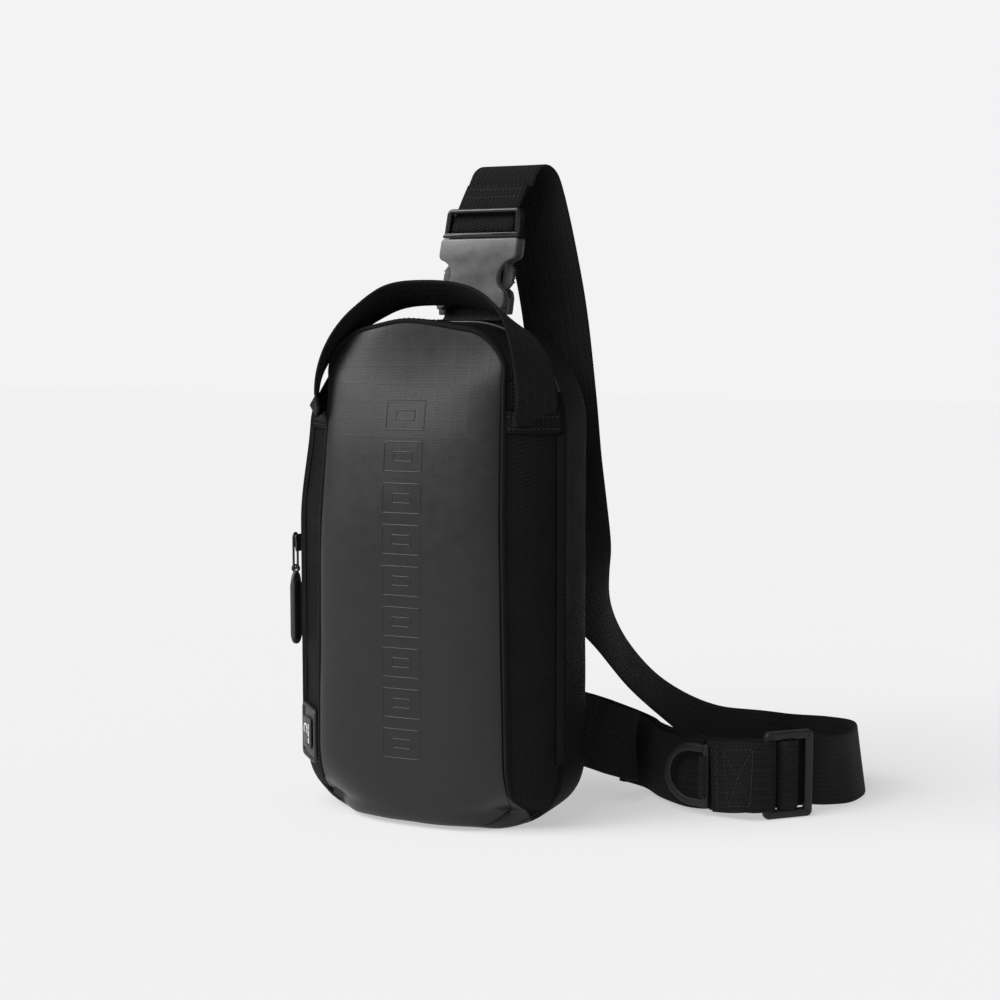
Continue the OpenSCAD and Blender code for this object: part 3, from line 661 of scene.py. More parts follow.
def coated_material(name, colour):
    """Satin coated rip-stop: a faint raised grid over a fine leathery grain."""
    n = Nodes(name, colour, 0.46, Sheen_Weight=0.02, Sheen_Roughness=0.4, Specular_IOR_Level=0.39)
    split = n.node("ShaderNodeSeparateXYZ", [n.place])
    across = n.math("POWER", n.ridge(n.math("DIVIDE", split.outputs[0], MM), GRID_PITCH), 24.0)
    upright = n.math("POWER", n.ridge(n.math("DIVIDE", split.outputs[2], MM), GRID_PITCH), 30.0)
    grid = n.math("MAXIMUM", n.math("MULTIPLY", across, 0.9), n.math("MULTIPLY", upright, 0.6))
    patches = n.noise(30, 4)
    threads = n.noise(900, 3, roughness=0.6)
    weave = n.math("MULTIPLY", n.ridge(n.math("DIVIDE", split.outputs[2], MM), 0.8), 0.35)
    tone = n.math("MULTIPLY_ADD", patches, 0.7, n.math("MULTIPLY", threads, 0.3))
    n.tint(tone, 0.8, 1.2)
    n.vary_roughness(n.noise(120, 4), 0.36, 0.46)
    fine = n.bump(n.math("ADD", threads, weave), 0.035)
    n.bump(grid, 0.02, under=fine)
    return n.material


def moulded_material(name, colour, roughness=0.4, grain=0.03, scale=1800.0, wear=0.15, **sockets):
    """Moulded plastic, rubber or painted metal: fine grain, uneven gloss, slightly worn high spots."""
    n = Nodes(name, colour, roughness, **sockets)
    patches = n.noise(140, 5)
    fine = n.noise(scale, 2)
    n.tint(n.math("MULTIPLY_ADD", patches, 0.8, n.math("MULTIPLY", fine, 0.2)), 1 - wear, 1 + wear * 1.6)
    n.vary_roughness(patches, roughness - 0.07, roughness + 0.08)
    n.bump(fine, grain)
    return n.material


def mesh_material(name, colour):
    """Open air-mesh: holes in a springy knit, darkened with painted shade."""
    n = cloth_nodes(name, colour, 0.75, 0.03)
    cells = n.node("ShaderNodeTexVoronoi", feature="F1")
    cells.inputs["Scale"].default_value = 330
    cells.inputs["Randomness"].default_value = 0.25
    n.tree.links.new(n.place, cells.inputs["Vector"])
    hole = n.node("ShaderNodeMapRange", [cells.outputs["Distance"], 0.2, 0.5, 0.0, 1.0]).outputs[0]
    # The holes are tinted dark: painted shade in the recesses, mixed with fine random tone.
    n.tint(n.math("MULTIPLY_ADD", hole, 0.75, n.math("MULTIPLY", n.noise(1200, 2), 0.25)), 0.15, 1.7)
    n.bump(hole, 0.6)
    return n.material


GUSSET = plain_weave("gusset_nylon", (0.0042, 0.0042, 0.0044), 1.1, 0.4, 0.6)
BODY_NYLON = plain_weave("padded_nylon", (0.003, 0.003, 0.0032), 0.95, 0.34, 0.62)
LINING = plain_weave("lining", (0.05, 0.053, 0.06), 0.5, 0.12, 0.5, sheen=0.03, spread=(0.75, 1.35))
WEBBING = webbing_material("webbing", (0.0068, 0.0068, 0.0071))
ELASTIC = webbing_material("elastic", (0.007, 0.007, 0.007), rib=0.9, column=1.2, depth=0.25)
TWILL = twill_material("twill_tape", (0.007, 0.007, 0.0074))
COATED = coated_material("coated_panel", (0.008, 0.0082, 0.0087))
AIR_MESH = mesh_material("air_mesh", (0.010, 0.010, 0.0106))
THREAD = moulded_material("thread", (0.017, 0.017, 0.0175), 0.6, 0.02, 2500, Specular_IOR_Level=0.2)
COIL = moulded_material("zip_coil", (0.014, 0.014, 0.015), 0.42)
ZIP_METAL = moulded_material("zip_metal", (0.045, 0.045, 0.048), 0.34, 0.01, Metallic=0.7)
# Black plastic lightened to grey for the female half and the prongs, so that it stands in for the bright
# reflection on the plate: painted highlight.
BUCKLE_PAINTED_HIGHLIGHT = moulded_material("buckle_plastic", (0.07, 0.07, 0.072), 0.3, 0.015)
BUCKLE_BLACK = moulded_material("buckle_black", (0.008, 0.008, 0.0083), 0.25, 0.015)
PAINTED = moulded_material("fitting_metal", (0.008, 0.008, 0.0085), 0.42, 0.015, Specular_IOR_Level=0.3)
RUBBER = moulded_material("rubber_pull", (0.02, 0.02, 0.021), 0.55, 0.03)
PORT_RUBBER = moulded_material("port_rubber", (0.024, 0.024, 0.026), 0.5, 0.03)
PORT_METAL = moulded_material("port_metal", (0.45, 0.46, 0.47), 0.3, 0.01, Metallic=1.0)
PRINT = moulded_material("white_print", (0.72, 0.73, 0.74), 0.5, 0.02, wear=0.05)


def part_way(value, start, end):
    """How far a value is from start to end, from 0 to 1."""
    return np.clip((value - start) / (end - start), 0, 1)


def ramp(value, start, end):
    """The same, with a soft start and end."""
    part = part_way(value, start, end)
    return part * part * (3 - 2 * part)


def tucked(points):
    """Shapes the lobe's points: its corners taper back to the seam, its upper left is drawn in and down.

    The panel also leans back towards its top, and its top edge is arched. Each ramp says between which
    places, in millimetres, a change grows from nothing to its whole.
    """
    points = np.array(points, float)
    x, y, z = points.T
    low = part_way(z, TUCK_LOW_Z, TUCK_LOW_END_Z)
    high = part_way(z, TUCK_HIGH_Z, TUCK_HIGH_END_Z)
    depth = np.sqrt(np.clip(1 - low ** 2 - high ** 2, 0.02, 1))
    corner = part_way(np.abs(x), 0, 55) ** 3
    lean = 1 - 0.3 * ramp(z, 150, 280)
    keep = np.where(y < SEAM_Y, lean * (1 - corner * (1 - depth)), 1)
    not_the_back = ramp(y, 28, 2)
    drawn = (7 * ramp(z, 165, 230) + 4.5 * ramp(z, 222, 247)) * ramp(x, -45, -75) * not_the_back
    drop = 7 * ramp(z, 235, 275) * ramp(x, -5, -50) * not_the_back
    narrowed = 4.5 * ramp(x, 25, 55) * part_way(y, -8, -25) ** 3
    front = part_way(y, -8, -23)
    arch = (3.5 - 6.5 * ramp(x, -8, 50)) * ramp(z, 240, 270) * front
    widened = 2 * ramp(z, 238, 258) * ramp(x, -22, -42) * front
    return np.stack([x + drawn - narrowed - widened, SEAM_Y + (y - SEAM_Y) * keep, z - drop + arch], 1)


# ---- rear compartment ----

def closing_rings(inset, shares, y):
    """Rings at a depth that close an outline of the seam in to its middle line."""
    edge = seam_outline(inset)
    spine = to_spine(edge, HALF_W - inset)
    return [upright_ring(spine + (edge - spine) * share, y) for share in shares]


def build_rear_shell():
    """Padded tray: a rim at the seam, a fold behind the zip, a band that swells, and the back wall."""
    profile = [(3.2, -3.2), (2.8, -3.9), (1.9, -3.9), (1.2, -3.2), (0.4, -2.0), (-0.3, -0.6),
               (-0.7, 0.6), (-0.8, 1.6), (-0.4, 2.4), (-0.35, 5), (-0.8, 10), (-1.1, 16), (-1.1, 22),
               (-0.8, 27), (-0.3, 30.5), (0.5, 32.6), (1.6, 34.2), (3.2, 35.3), (5.2, 35.9)]
    rings = [upright_ring(seam_outline(inset), y) for inset, y in profile]
    back = closing_rings(5.2, [0.97], BACK_Y)
    back += closing_rings(5.2, (0.93, 0.85, 0.7, 0.5, 0.3, 0.12, 0.0), BACK_Y + 0.15)
    inner = closing_rings(3.2, (0.0, 0.5, 0.9, 1.0), BACK_Y - WALL)
    inner += [upright_ring(seam_outline(2.95), y) for y in (30, 20, 10, 0)]
    shell = lofted("rear_body", inner + rings + back, [BODY_NYLON], around=True, outward=False)
    place(shell, tucked)
    rumple(shell, 0.5, 24, 3.1)
    face_outwards(shell.data)
    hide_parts("rear_shell")
    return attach(shell, "root")


def build_lining():
    """Cloth lining, slightly loose in the tray."""
    profile = [(3.02, -2.8), (3.1, 0), (3.4, 8), (3.5, 20), (3.6, 29), (4.6, 32)]
    rings = [upright_ring(seam_outline(inset), y) for inset, y in profile]
    rings += closing_rings(5, (0.97, 0.8, 0.6, 0.4, 0.2, 0.0), 32.5)
    lining = lofted("compartment_lining", rings, [LINING], around=True, outward=False)
    place(lining, tucked)
    rumple(lining, 0.35, 16, 8.0)
    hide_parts("rear_lining")
    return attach(lining, "root")


def build_slip_pocket():
    """Flat pocket on the back wall: a bowed front sheet with an elastic hem."""
    low, high, half = 14.0, 174.0, 60.0
    columns = np.linspace(-1, 1, 33)
    rings = []
    for share in np.linspace(0, 1, 25):
        z = low + (high - low) * share
        depth = (0.15 + 0.85 * share) * 6.6
        rings.append([(half * c, 32.2 - depth * (1 - abs(c) ** 5), z) for c in columns])
    pocket = lofted("pocket_sheet", rings, [LINING], outward=False)
    rumple(pocket, 0.3, 14, 1.7)
    solid_sheet(pocket, 0.8)
    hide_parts("slip_pocket")
    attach(pocket, "root")
    centres = np.array([(half * c, 32.2 - 7.0 * (1 - abs(c) ** 5) + 0.4, high - 4)
                        for c in np.linspace(-0.995, 0.995, 60)])
    hem = Ribbon(centres, UPRIGHT, 8, 1.6).build("pocket_elastic", [ELASTIC])
    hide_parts("pocket_hem")
    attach(hem, "root")


def cushion(low, high):
    """Rings of one cushion's closed form, between two heights on the back wall."""
    heights, half_widths = half_width_table(seam_outline(11))
    rings = []
    for depth, inset in ((0.3, 1.0), (1.2, 0.2), (2.8, 0.2), (4.0, 1.6), (4.4, 3.2)):
        z0, z1 = low + inset, high - inset
        right = [(np.interp(z, heights, half_widths) - inset, z) for z in np.linspace(z0, z1, 19)]
        top = [(right[-1][0] * x, z1) for x in np.linspace(1, -1, 33)[1:-1]]
        left = [(-x, z) for x, z in reversed(right)]
        bottom = [(right[0][0] * x, z0) for x in np.linspace(-1, 1, 33)[1:-1]]
        rings.append(upright_ring(np.array(right + top + left + bottom), BACK_Y + depth))
    return rings


def half_width_table(edge):
    """Heights and half widths of an outline's right side, for interpolation."""
    right = edge[edge[:, 0] > 0]
    order = np.argsort(right[:, 1])
    return right[order, 1], right[order, 0]


def build_back_pad():
    """Three air-mesh cushions with channels between them."""
    for number in range(3):
        low = PAD_LOW_Z + number * PAD_PITCH
        rings = np.array(cushion(low, low + PAD_H))
        middle = rings[-1].mean(0)
        top = [middle + (rings[-1] - middle) * share + np.array([0, rise, 0])
               for share, rise in ((0.93, 0.5), (0.8, 1.0), (0.6, 1.3), (0.4, 1.4), (0.2, 1.45),
                                   (0.01, 1.45))]
        bottom = [middle * [1, 0, 1] + [0, BACK_Y + 0.3, 0] + (rings[0] - rings[0].mean(0)) * share
                  for share in (0.01, 0.5, 0.9)]
        pad = lofted(f"back_cushion_{number}", [*bottom, *rings, *top], [AIR_MESH], around=True, caps=True,
                     sharp=80)
        swell(pad, BACK_Y + 0.3)
        rumple(pad, 0.35, 20, number * 2.0)
        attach(pad, "root")
    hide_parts("back_pad")


def swell(obj, wall_y, cap=2.2):
    """Blows a pad up as cloth under pressure, caps how far it moves, and keeps it off the wall."""
    scene = bpy.context.scene
    remesh = obj.modifiers.new("even", "REMESH")
    remesh.mode = "VOXEL"
    remesh.voxel_size = PAD_VOXEL * MM
    remesh.use_smooth_shade = True
    material = obj.data.materials[0]
    keep_modifiers(obj)
    obj.data.materials.clear()
    obj.data.materials.append(material)
    start = np.array([v.co for v in obj.data.vertices], float)
    cloth = obj.modifiers.new("cloth", "CLOTH")
    cloth.settings.use_pressure = True
    cloth.settings.uniform_pressure_force = 4
    cloth.settings.effector_weights.gravity = 0
    cloth.settings.quality = 5
    for number in range(1, 21):
        scene.frame_set(number)
    keep_modifiers(obj)
    scene.frame_set(1)
    moved = np.array([v.co for v in obj.data.vertices], float) - start
    length = np.linalg.norm(moved, axis=1)[:, None]
    moved *= np.minimum(1, cap * MM / np.maximum(length, 1e-9))
    points = start + moved
    points[:, 1] = np.maximum(points[:, 1], wall_y * MM)
    obj.data.vertices.foreach_set("co", points.astype(np.float32).ravel())
    obj.data.update()
    rounder = obj.modifiers.new("rounder", "SUBSURF")
    rounder.levels = 1
    rounder.render_levels = 1
    return smooth(keep_modifiers(obj), 80)


# ---- front lobe ----

def lobe_band():
    """The lobe's wall from the seam to the panel's edge, as one open sheet."""
    seam = seam_outline(0.0)
    panel = panel_outline(0.0)
    rings = []
    for share in np.linspace(0, 1, 15):
        ring = seam + (panel - seam) * share
        ring = ring + outward_of(ring) * (1.3 * math.sin(math.pi * share) - 1.6 * math.exp(-share * 18))
        rings.append(upright_ring(ring, FRONT_SEAM_Y + (EDGE_Y - FRONT_SEAM_Y) * share))
    return [np.vstack([ring, ring[:1]]) for ring in rings]


def build_gussets():
    """Top, left and right gussets and the panel's wrap under the bottom, cut from one band.

    Each cut is a point of a plane, and the way in which the band is removed.
    """
    middle = (0, 0, GUSSET_TOP_Z)
    left = (-WRAP_X, 0, 12)
    right = (WRAP_X, 0, 12)
    cuts = {"gusset_top": [(middle, (0, 0, -1))],
            "gusset_left": [(middle, (0, 0, 1)), (left, (1, 0, -WRAP_SLANT))],
            "gusset_right": [(middle, (0, 0, 1)), (right, (-1, 0, -WRAP_SLANT))],
            "panel_wrap": [(left, (-1, 0, WRAP_SLANT)), (right, (1, 0, WRAP_SLANT)), ((0, 0, 60), (0, 0, 1))]}
    nodes = {"gusset_top": "top_gusset", "gusset_left": "left_gusset", "gusset_right": "right_gusset"}
    for name, planes in cuts.items():
        cloth = GUSSET if name in nodes else COATED
        sheet = lofted(name, lobe_band(), [cloth, LINING], outward=False)
        for point, normal in planes:
            cut_away(sheet, point, normal)
        place(sheet, tucked)
        rumple(sheet, 0.45, 18, 5.0)
        solid_sheet(sheet, SHEET_T, lining=1)
        if name in nodes:
            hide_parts(nodes[name])
        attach(sheet, "front_lobe")


def crown_depth(share):
    """Depth of the front panel at a share of the way from its spine to its edge."""
    return EDGE_Y - CROWN * max(1 - abs(share) ** 3.2, 0) ** 0.6


def build_front_panel():
    """Crowned panel: it rolls over its edge and sags a little between its seams."""
    edge = panel_outline(0)
    spine = to_spine(edge, 55)
    shares = [1, 0.998, 0.993, 0.985, 0.97, 0.95, 0.925, 0.895, 0.86, 0.82, 0.77, 0.71, 0.64, 0.56, 0.47,
              0.37, 0.26, 0.14, 0.0]
    rings = [upright_ring(spine + (edge - spine) * share, crown_depth(share)) for share in shares]
    for ring in rings:
        ring[:, 1] = EDGE_Y + (ring[:, 1] - EDGE_Y) * (1 - 0.8 * ramp(ring[:, 2], 206, 272))
    closed = [np.vstack([ring, ring[:1]]) for ring in rings]
    panel = lofted("panel_front", closed, [COATED, LINING], outward=False)
    rework(panel.data, lambda work: bmesh.ops.remove_doubles(work, verts=work.verts, dist=0.05 * MM))
    place(panel, tucked)
    rumple(panel, 0.5, 42, 2.4)
    solid_sheet(panel, SHEET_T, lining=1)
    smooth(panel, 60)
    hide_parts("front_panel", "panel_foam")
    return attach(panel, "front_lobe")


def rectangle(left, right, low, high):
    """Corners of a rectangle in XZ."""
    return [(left, low), (right, low), (right, high), (left, high)]


def build_embossing(panel):
    """A plain raised ladder of outlined bars up the panel, in place of the photograph's lettering."""
    surface = BVHTree.FromObject(panel, bpy.context.evaluated_depsgraph_get())
    pieces = []
    for number in range(LADDER_BARS):
        low = LADDER_LOW_Z + number * LADDER_PITCH
        pieces.append(raised_outline(surface, f"bar_{number}", rectangle(-14.5, 8.5, low, low + 16)))
        pieces.append(raised_outline(surface, f"slot_{number}", rectangle(-8.5, 2.5, low + 5.5, low + 10.5)))
    ladder = join("embossed_ladder", pieces)
    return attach(ladder, "front_lobe")


def raised_outline(surface, name, corners, line=1.0):
    """A thin raised line round corners given in XZ, laid on the front panel's own surface."""
    path = []
    up = []
    for (x0, z0), (x1, z1) in zip(corners, corners[1:] + corners[:1]):
        for share in np.linspace(0, 1, 12, endpoint=False):
            start = Vector((x0 + (x1 - x0) * share, -80, z0 + (z1 - z0) * share)) * MM
            place_hit, normal, _, _ = surface.ray_cast(start, Vector((0, 1, 0)))
            path.append(np.array(place_hit) / MM)
            up.append(np.array(normal) * (1 if normal.y < 0 else -1))
    path = np.array(path)
    up = np.array(up)
    run = np.roll(path, -1, 0) - np.roll(path, 1, 0)
    across = np.cross(up, run)
    across /= np.linalg.norm(across, axis=1)[:, None]
    section = np.array([(-line / 2, -0.25), (-line / 4, 0.16), (line / 4, 0.16), (line / 2, -0.25)])
    return sweep(name, path, across, section, [COATED], closed=True, up=up, sharp=80)


def build_binding():
    """Twill piping round the panel's edge, with a row of stitches beside it."""
    edge = panel_outline(-0.6)
    path2, normal2 = open_run(edge, edge[:, 1] > 20)
    path2 = path2 - normal2 * (1.5 * ramp(path2[:, 1:], 250, 270))
    path = tucked(upright_ring(path2, EDGE_Y + 1.4))
    across = upright_ring(normal2, 0)
    piping = sweep("panel_piping", path, across, round_section(1.5, 2.2, 14), [TWILL], up=(0, 1, 0), sharp=80)
    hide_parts("panel_binding")
    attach(piping, "front_lobe")
    line = [(p + n * 1.5 + np.array([0, 2.2, 0]), n + np.array([0, -0.3, 0])) for p, n in zip(path, across)]
    row = stitch_mesh("piping_stitches", stitches_along(line, 3.0), THREAD, 0.28)
    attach(row, "front_lobe")


def gusset_point(side, share, z, lift=0.0):
    """A point and normal on a side gusset, share running from the seam to the panel's edge."""
    seam_x = np.interp(z, *half_width_table(seam_outline(0)))
    panel_x = np.interp(z, *half_width_table(panel_outline(0)))
    bulge = 1.1 * math.sin(math.pi * share)
    run = np.array([panel_x - seam_x, EDGE_Y - FRONT_SEAM_Y])
    normal = np.array([-run[1], run[0]]) / np.linalg.norm(run)
    point = np.array([seam_x, FRONT_SEAM_Y]) + run * share + normal * (bulge + lift)
    return np.array([side * point[0], point[1], z]), np.array([side * normal[0], normal[1], 0])


def build_hems():
    """Folded top edges of the side gussets, which hold the handle's ends, with two rows of stitches."""
    pieces = []
    rows = []
    for side in (-1, 1):
        rings = []
        for share in np.linspace(0.05, 0.93, 25):
            ring = []
            for z, lift in ((218.5, 0.0), (219.0, 1.5), (220.5, 2.0), (224, 2.05), (228.5, 2.3), (230.2, 2.5),
                            (230.9, 2.0), (230.9, 0.6), (230, 0.0)):
                ring.append(gusset_point(side, share, z, lift * (0.6 if side < 0 else 1))[0])
            rings.append(ring)
        pieces.append(lofted("hem", rings, [GUSSET], around=True, caps=True))
        lift = 1.3 if side < 0 else 2.15
        for z in (221.2, 227.6):
            row = [gusset_point(side, share, z, lift) for share in np.linspace(0.07, 0.91, 20)]
            rows += stitches_along([(tucked([p])[0], n) for p, n in row])
    hems = place(join("gusset_hem_folds", pieces), tucked)
    rumple(hems, 0.25, 9, 4.0)
    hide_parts("gusset_hems")
    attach(hems, "front_lobe")
    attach(stitch_mesh("hem_stitches", rows, THREAD), "front_lobe")


def build_hinge_cloth():
    """The seam on the right that the lobe turns on: a strip of gusset cloth folded outwards."""
    fold = [(77.6, -1.8), (78.6, -2.6), (79.6, -3.2), (80.4, -3.6), (80.7, -4.15), (80.4, -4.7), (79.6, -5.1),
            (78.6, -5.7), (77.6, -6.5)]
    heights = np.linspace(38, 218, 73)
    rings = [[(x, y, z) for x, y in fold] for z in heights]
    cloth = lofted("hinge_cloth", rings, [GUSSET], outward=False)
    solid_sheet(cloth, 0.6)
    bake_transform(cloth)


# ---- zip ----

def zip_path():
    """The seam's outline where the zip runs, from its end on the right to its end low on the left."""
    dense = outline(HALF_W, HALF_W, 0, BAG_H, TOP_R, LOW_R, arc_n=110, straight=(52, 320, 52, 320))
    x, z = dense.T
    return open_run(dense, ((x < 0) & (z > ZIP_LOW_Z)) | ((x >= 0) & (z > ZIP_END_RIGHT_Z)))


def build_zip():
    """Tapes and coils of both halves."""
    path2, normal2 = zip_path()
    distance = distances(path2)
    across = upright_ring(normal2, 0)
    halves = (("rear", SEAM_Y, 1, "root"), ("front", FRONT_SEAM_Y, -1, "front_lobe"))
    for label, y, way, body in halves:
        path = upright_ring(path2, y)
        section = np.array([(-2.4, 0.1), (0.75, 0.1), (0.9, 0.5), (0.85, 2.6), (0.5, 3.1), (-2.4, 3.1)])
        section[:, 1] *= way
        tape = sweep(f"zip_tape_{label}_cloth", path[::4], across[::4], section, [TWILL], up=(0, 1, 0))
        place(tape, tucked)
        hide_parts(f"zip_tape_{label}")
        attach(tape, body)
        wave = 0.5 + 0.5 * np.cos(2 * math.pi * distance / COIL_PITCH + (math.pi if way < 0 else 0))
        rings = []
        for p, n, swing in zip(path, across, wave):
            out = 0.62 + 0.13 * swing
            deep = 0.45 + 0.25 * swing
            rings.append([p + n * (ZIP_RISE + 0.65 + a * out) + np.array([0, way * (0.72 + b * deep), 0])
                          for a, b in round_section(1, 1, 8)])
        coil = lofted(f"zip_coil_{label}_teeth", rings, [COIL], around=True, caps=True, sharp=80)
        place(coil, tucked)
        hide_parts(f"zip_coil_{label}")
        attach(coil, body)


def build_slider():
    """Slider body with flared shoulders and the bridge that holds the link."""
    out = -HALF_W - 4.2
    shape = [(-2.6, -5), (2.6, -5), (3.2, -3.6), (3.0, 0), (3.7, 2.6), (3.4, 4.4), (2.2, 5), (-2.2, 5),
             (-3.4, 4.4), (-3.7, 2.6), (-3.0, 0), (-3.2, -3.6)]
    body = slab("slider_body", shape, 0, 1.2, [ZIP_METAL], 0.35)
    place(body, lambda p: np.stack([out + 0.6 - p[:, 1], SEAM_Y + p[:, 0], SLIDER_Z + p[:, 2]], 1))
    bridge_path = [(out, SEAM_Y, SLIDER_Z - 3.5), (out - 1.6, SEAM_Y, SLIDER_Z - 2.4),
                   (PULL_X - 0.9, SEAM_Y, SLIDER_Z + 1.6), (PULL_X - 0.7, SEAM_Y, SLIDER_Z + 3.9),
                   (out - 0.6, SEAM_Y, SLIDER_Z + 4.3)]
    path, across = smooth_path(keyed([0, 1, 0], bridge_path), 8)
    bridge = sweep("slider_bridge", path, across, block_section(2.4, 1.0, 0.4), [ZIP_METAL])
    slider = join("slider", [body, bridge])
    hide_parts("zip_slider")
    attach(slider, "zip_slider")


def stadium(width, height, count=10):
    """Closed outline of a rectangle with round ends, upright, centred."""
    r = width / 2
    rise = height / 2 - r
    right = [(r * math.cos(a), rise + r * math.sin(a)) for a in np.linspace(0, math.pi, count)]
    left = [(r * math.cos(a), -rise + r * math.sin(a)) for a in np.linspace(math.pi, 2 * math.pi, count)]
    return right + left


def build_link():
    """Metal link: a long closed loop of flat wire, its lower end on the pull's axis."""
    loop = np.array([(PULL_X, SEAM_Y + a, PULLER_Z + 10.2 + b) for a, b in stadium(4.6, 20.4)])
    up = np.cross(run_of(loop, closed=True), SIDEWAYS)
    section = block_section(1.1, 1.4, 0.4)
    link = sweep("link", loop, SIDEWAYS, section, [ZIP_METAL], closed=True, up=up, sharp=60)
    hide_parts("zip_link")
    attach(link, "zip_link")


def build_puller():
    """Rubber pull: an eye round the link's end, and a long tongue with a round end and a raised rim."""
    turns = np.linspace(0, 2 * math.pi, 24, endpoint=False)
    eye_path = np.array([(0, EYE_R * math.cos(turn), EYE_R * math.sin(turn)) for turn in turns])
    eye = sweep("puller_eye", eye_path, SIDEWAYS, block_section(2.2, 1.1, 0.35), [RUBBER], closed=True,
                up=eye_path / EYE_R, sharp=60)
    lower_end = [(4.5 * math.cos(a), -39.5 + 4.5 * math.sin(a))
                 for a in np.linspace(math.pi * 1.03, math.pi * 1.97, 13)]
    side = [(1.7, -EYE_R), (3.4, -3.8), (4.3, -6.5), (4.5, -10), (4.5, -38)]
    outer = [(-x, z) for x, z in side] + lower_end + side[::-1]
    tongue = slab("puller_tongue", outer[::-1], -1.1, 1.1, [RUBBER], 0.7, 4)
    rim = [(a * 0.86, -24 + b) for a, b in stadium(8.6, 36)]
    rims = [flat_wire("rim", rim, round_section(0.7, 0.55, 8), [RUBBER], side * 1.05, side)
            for side in (-1, 1)]
    puller = join("puller", [eye, tongue, *rims])
    place(puller, lambda p: np.stack([PULL_X + p[:, 1], SEAM_Y + p[:, 0], PULLER_Z + p[:, 2]], 1))
    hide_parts("zip_puller")
    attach(puller, "zip_puller")


# ---- charging port ----

def in_port(points):
    """Points of the port's own frame: X to the back, Y outwards, Z up."""
    return turned_about_z(points, PORT_ORIGIN, PORT_TURN)


def rounded_plate(half_w, half_h, lean, corner):
    """Outline of a leaning plate with round corners."""
    return [(x, z + lean * x) for x, z in block_section(2 * half_w, 2 * half_h, corner, 5)]


def build_port():
    """Patch with a raised border, and its hinged cover with a plain pictogram; the socket behind is the CAD
    model's own.
    """
    base = slab("port_base", rounded_plate(11, 15.5, PORT_LEAN, 3), 0, 0.7, [PORT_RUBBER], 0.25)
    border = flat_wire("border", rounded_plate(10.1, 14.6, PORT_LEAN, 2.6), round_section(0.9, 0.9, 10),
                       [PORT_RUBBER], 0.8)
    patch = place(join("port_patch", [base, border]), in_port)
    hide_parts("port_plate")
    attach(patch, "front_lobe")

    cover = slab("port_lid", rounded_plate(6.6, 9.0, 0.0, 1.6), 1.5, 2.5, [PORT_RUBBER], 0.35)
    lip = slab("port_lip", rounded_plate(3.2, 0.9, 0.0, 0.8), 2.2, 2.9, [PORT_RUBBER], 0.25)
    place(lip, lambda p: p + np.array([0, 0, -7.2]))
    lid = place(join("port_flap", [cover, lip]), in_port)
    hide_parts("port_cover")
    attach(lid, "port_cover")

    arc = [(2.6 * math.cos(a) + 1.8, 2.55, 1.5 + 3.2 * math.sin(a))
           for a in np.linspace(-0.6, math.pi + 0.6, 20)]
    marks = [sweep("mark", arc, (0, 1, 0), block_section(0.2, 0.75, 0.08), [PRINT])]
    for number in range(3):
        bar = slab("mark", rounded_plate(0.55, 1.6, 0, 0.3), 2.48, 2.62, [PRINT], 0)
        marks.append(place(bar, lambda p, n=number: p + np.array([-3.4, 0, -4.2 + 4.0 * n])))
    pictogram = place(join("port_pictogram", marks), in_port)
    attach(pictogram, "port_cover")


# ---- handle ----

def handle_ribbon():
    """The handle's webbing from under one hem, over the arch, to under the other."""
    count = 140
    centres = []
    widths = []
    for t in np.radians(np.linspace(1, 179, count)):
        c, s = math.cos(t), math.sin(t)
        sign = 1 if c >= 0 else -1
        centres.append((70.5 * sign * abs(c) ** 0.82, -18 + 16 * s ** 3, 230 + 64 * s ** 0.82))
        tilt = math.radians(33 * s)
        turn = 0.9 if c > 0 else 0.5
        widths.append((turn * sign * c ** 4, math.cos(tilt), -math.sin(tilt)))
    ends = []
    for side in (1, -1):
        foot = []
        for z in (223.0, 225, 227, 229):
            point, _ = gusset_point(side, 0.52, z, 0.6)
            foot.append((tucked([point])[0], (1.1 * side, 1.0, 0.0)))
        ends.append(foot)
    left = ends[1][::-1]
    centres = np.array([p for p, _ in ends[0]] + centres + [p for p, _ in left])
    widths = np.array([w for _, w in ends[0]] + widths + [w for _, w in left])
    for _ in range(4):
        centres[1:-1] = (centres[:-2] + 2 * centres[1:-1] + centres[2:]) / 4
        widths[1:-1] = (widths[:-2] + 2 * widths[1:-1] + widths[2:]) / 4
    x, z = centres[:, 0], centres[:, 2]
    drawn = 7.5 * ramp(z, 229, 235) + 4.5 * ramp(z, 240, 280)
    centres[:, 0] += drawn * ramp(x, 0, -40) * ramp(z, 303, 281)
    return Ribbon(centres, widths, 24, 1.6)


def build_handle():
    """The handle's webbing, which bends where its sewn ends meet the free arch."""
    handle = handle_ribbon().build("handle_webbing", [WEBBING])
    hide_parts("handle", "handle_ends")
    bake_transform(handle)


# ---- buckle ----

def mirrored(points):
    """A right half outline, bottom to top, closed by its mirror image."""
    return [*points, *[(-x, z) for x, z in reversed(points)]]


def female_outline():
    """Outline of the female half's plates: legs, waist with the finger cut-outs, and shoulders."""
    waist = [(23.8 + 9.4 * math.cos(a), 19 + 9.4 * math.sin(a))
             for a in np.radians(np.linspace(236, 103, 18))]
    return mirrored([(12.5, 4.6), (14.6, 2.6), (17.2, 0.6), (19.4, 0.6), (20.6, 3.0), (20.8, 7.0),
                     (19.8, 10.2), *waist, (23.2, 29.6), (23.5, 31.5), (23.5, 38.6), (22.6, 40.0)])


def wedged(points):
    """Stands the front plate's lower part further out."""
    points[:, 1] += (points[:, 1] < -3.5) * (points[:, 2] - 40) * 0.12
    return points


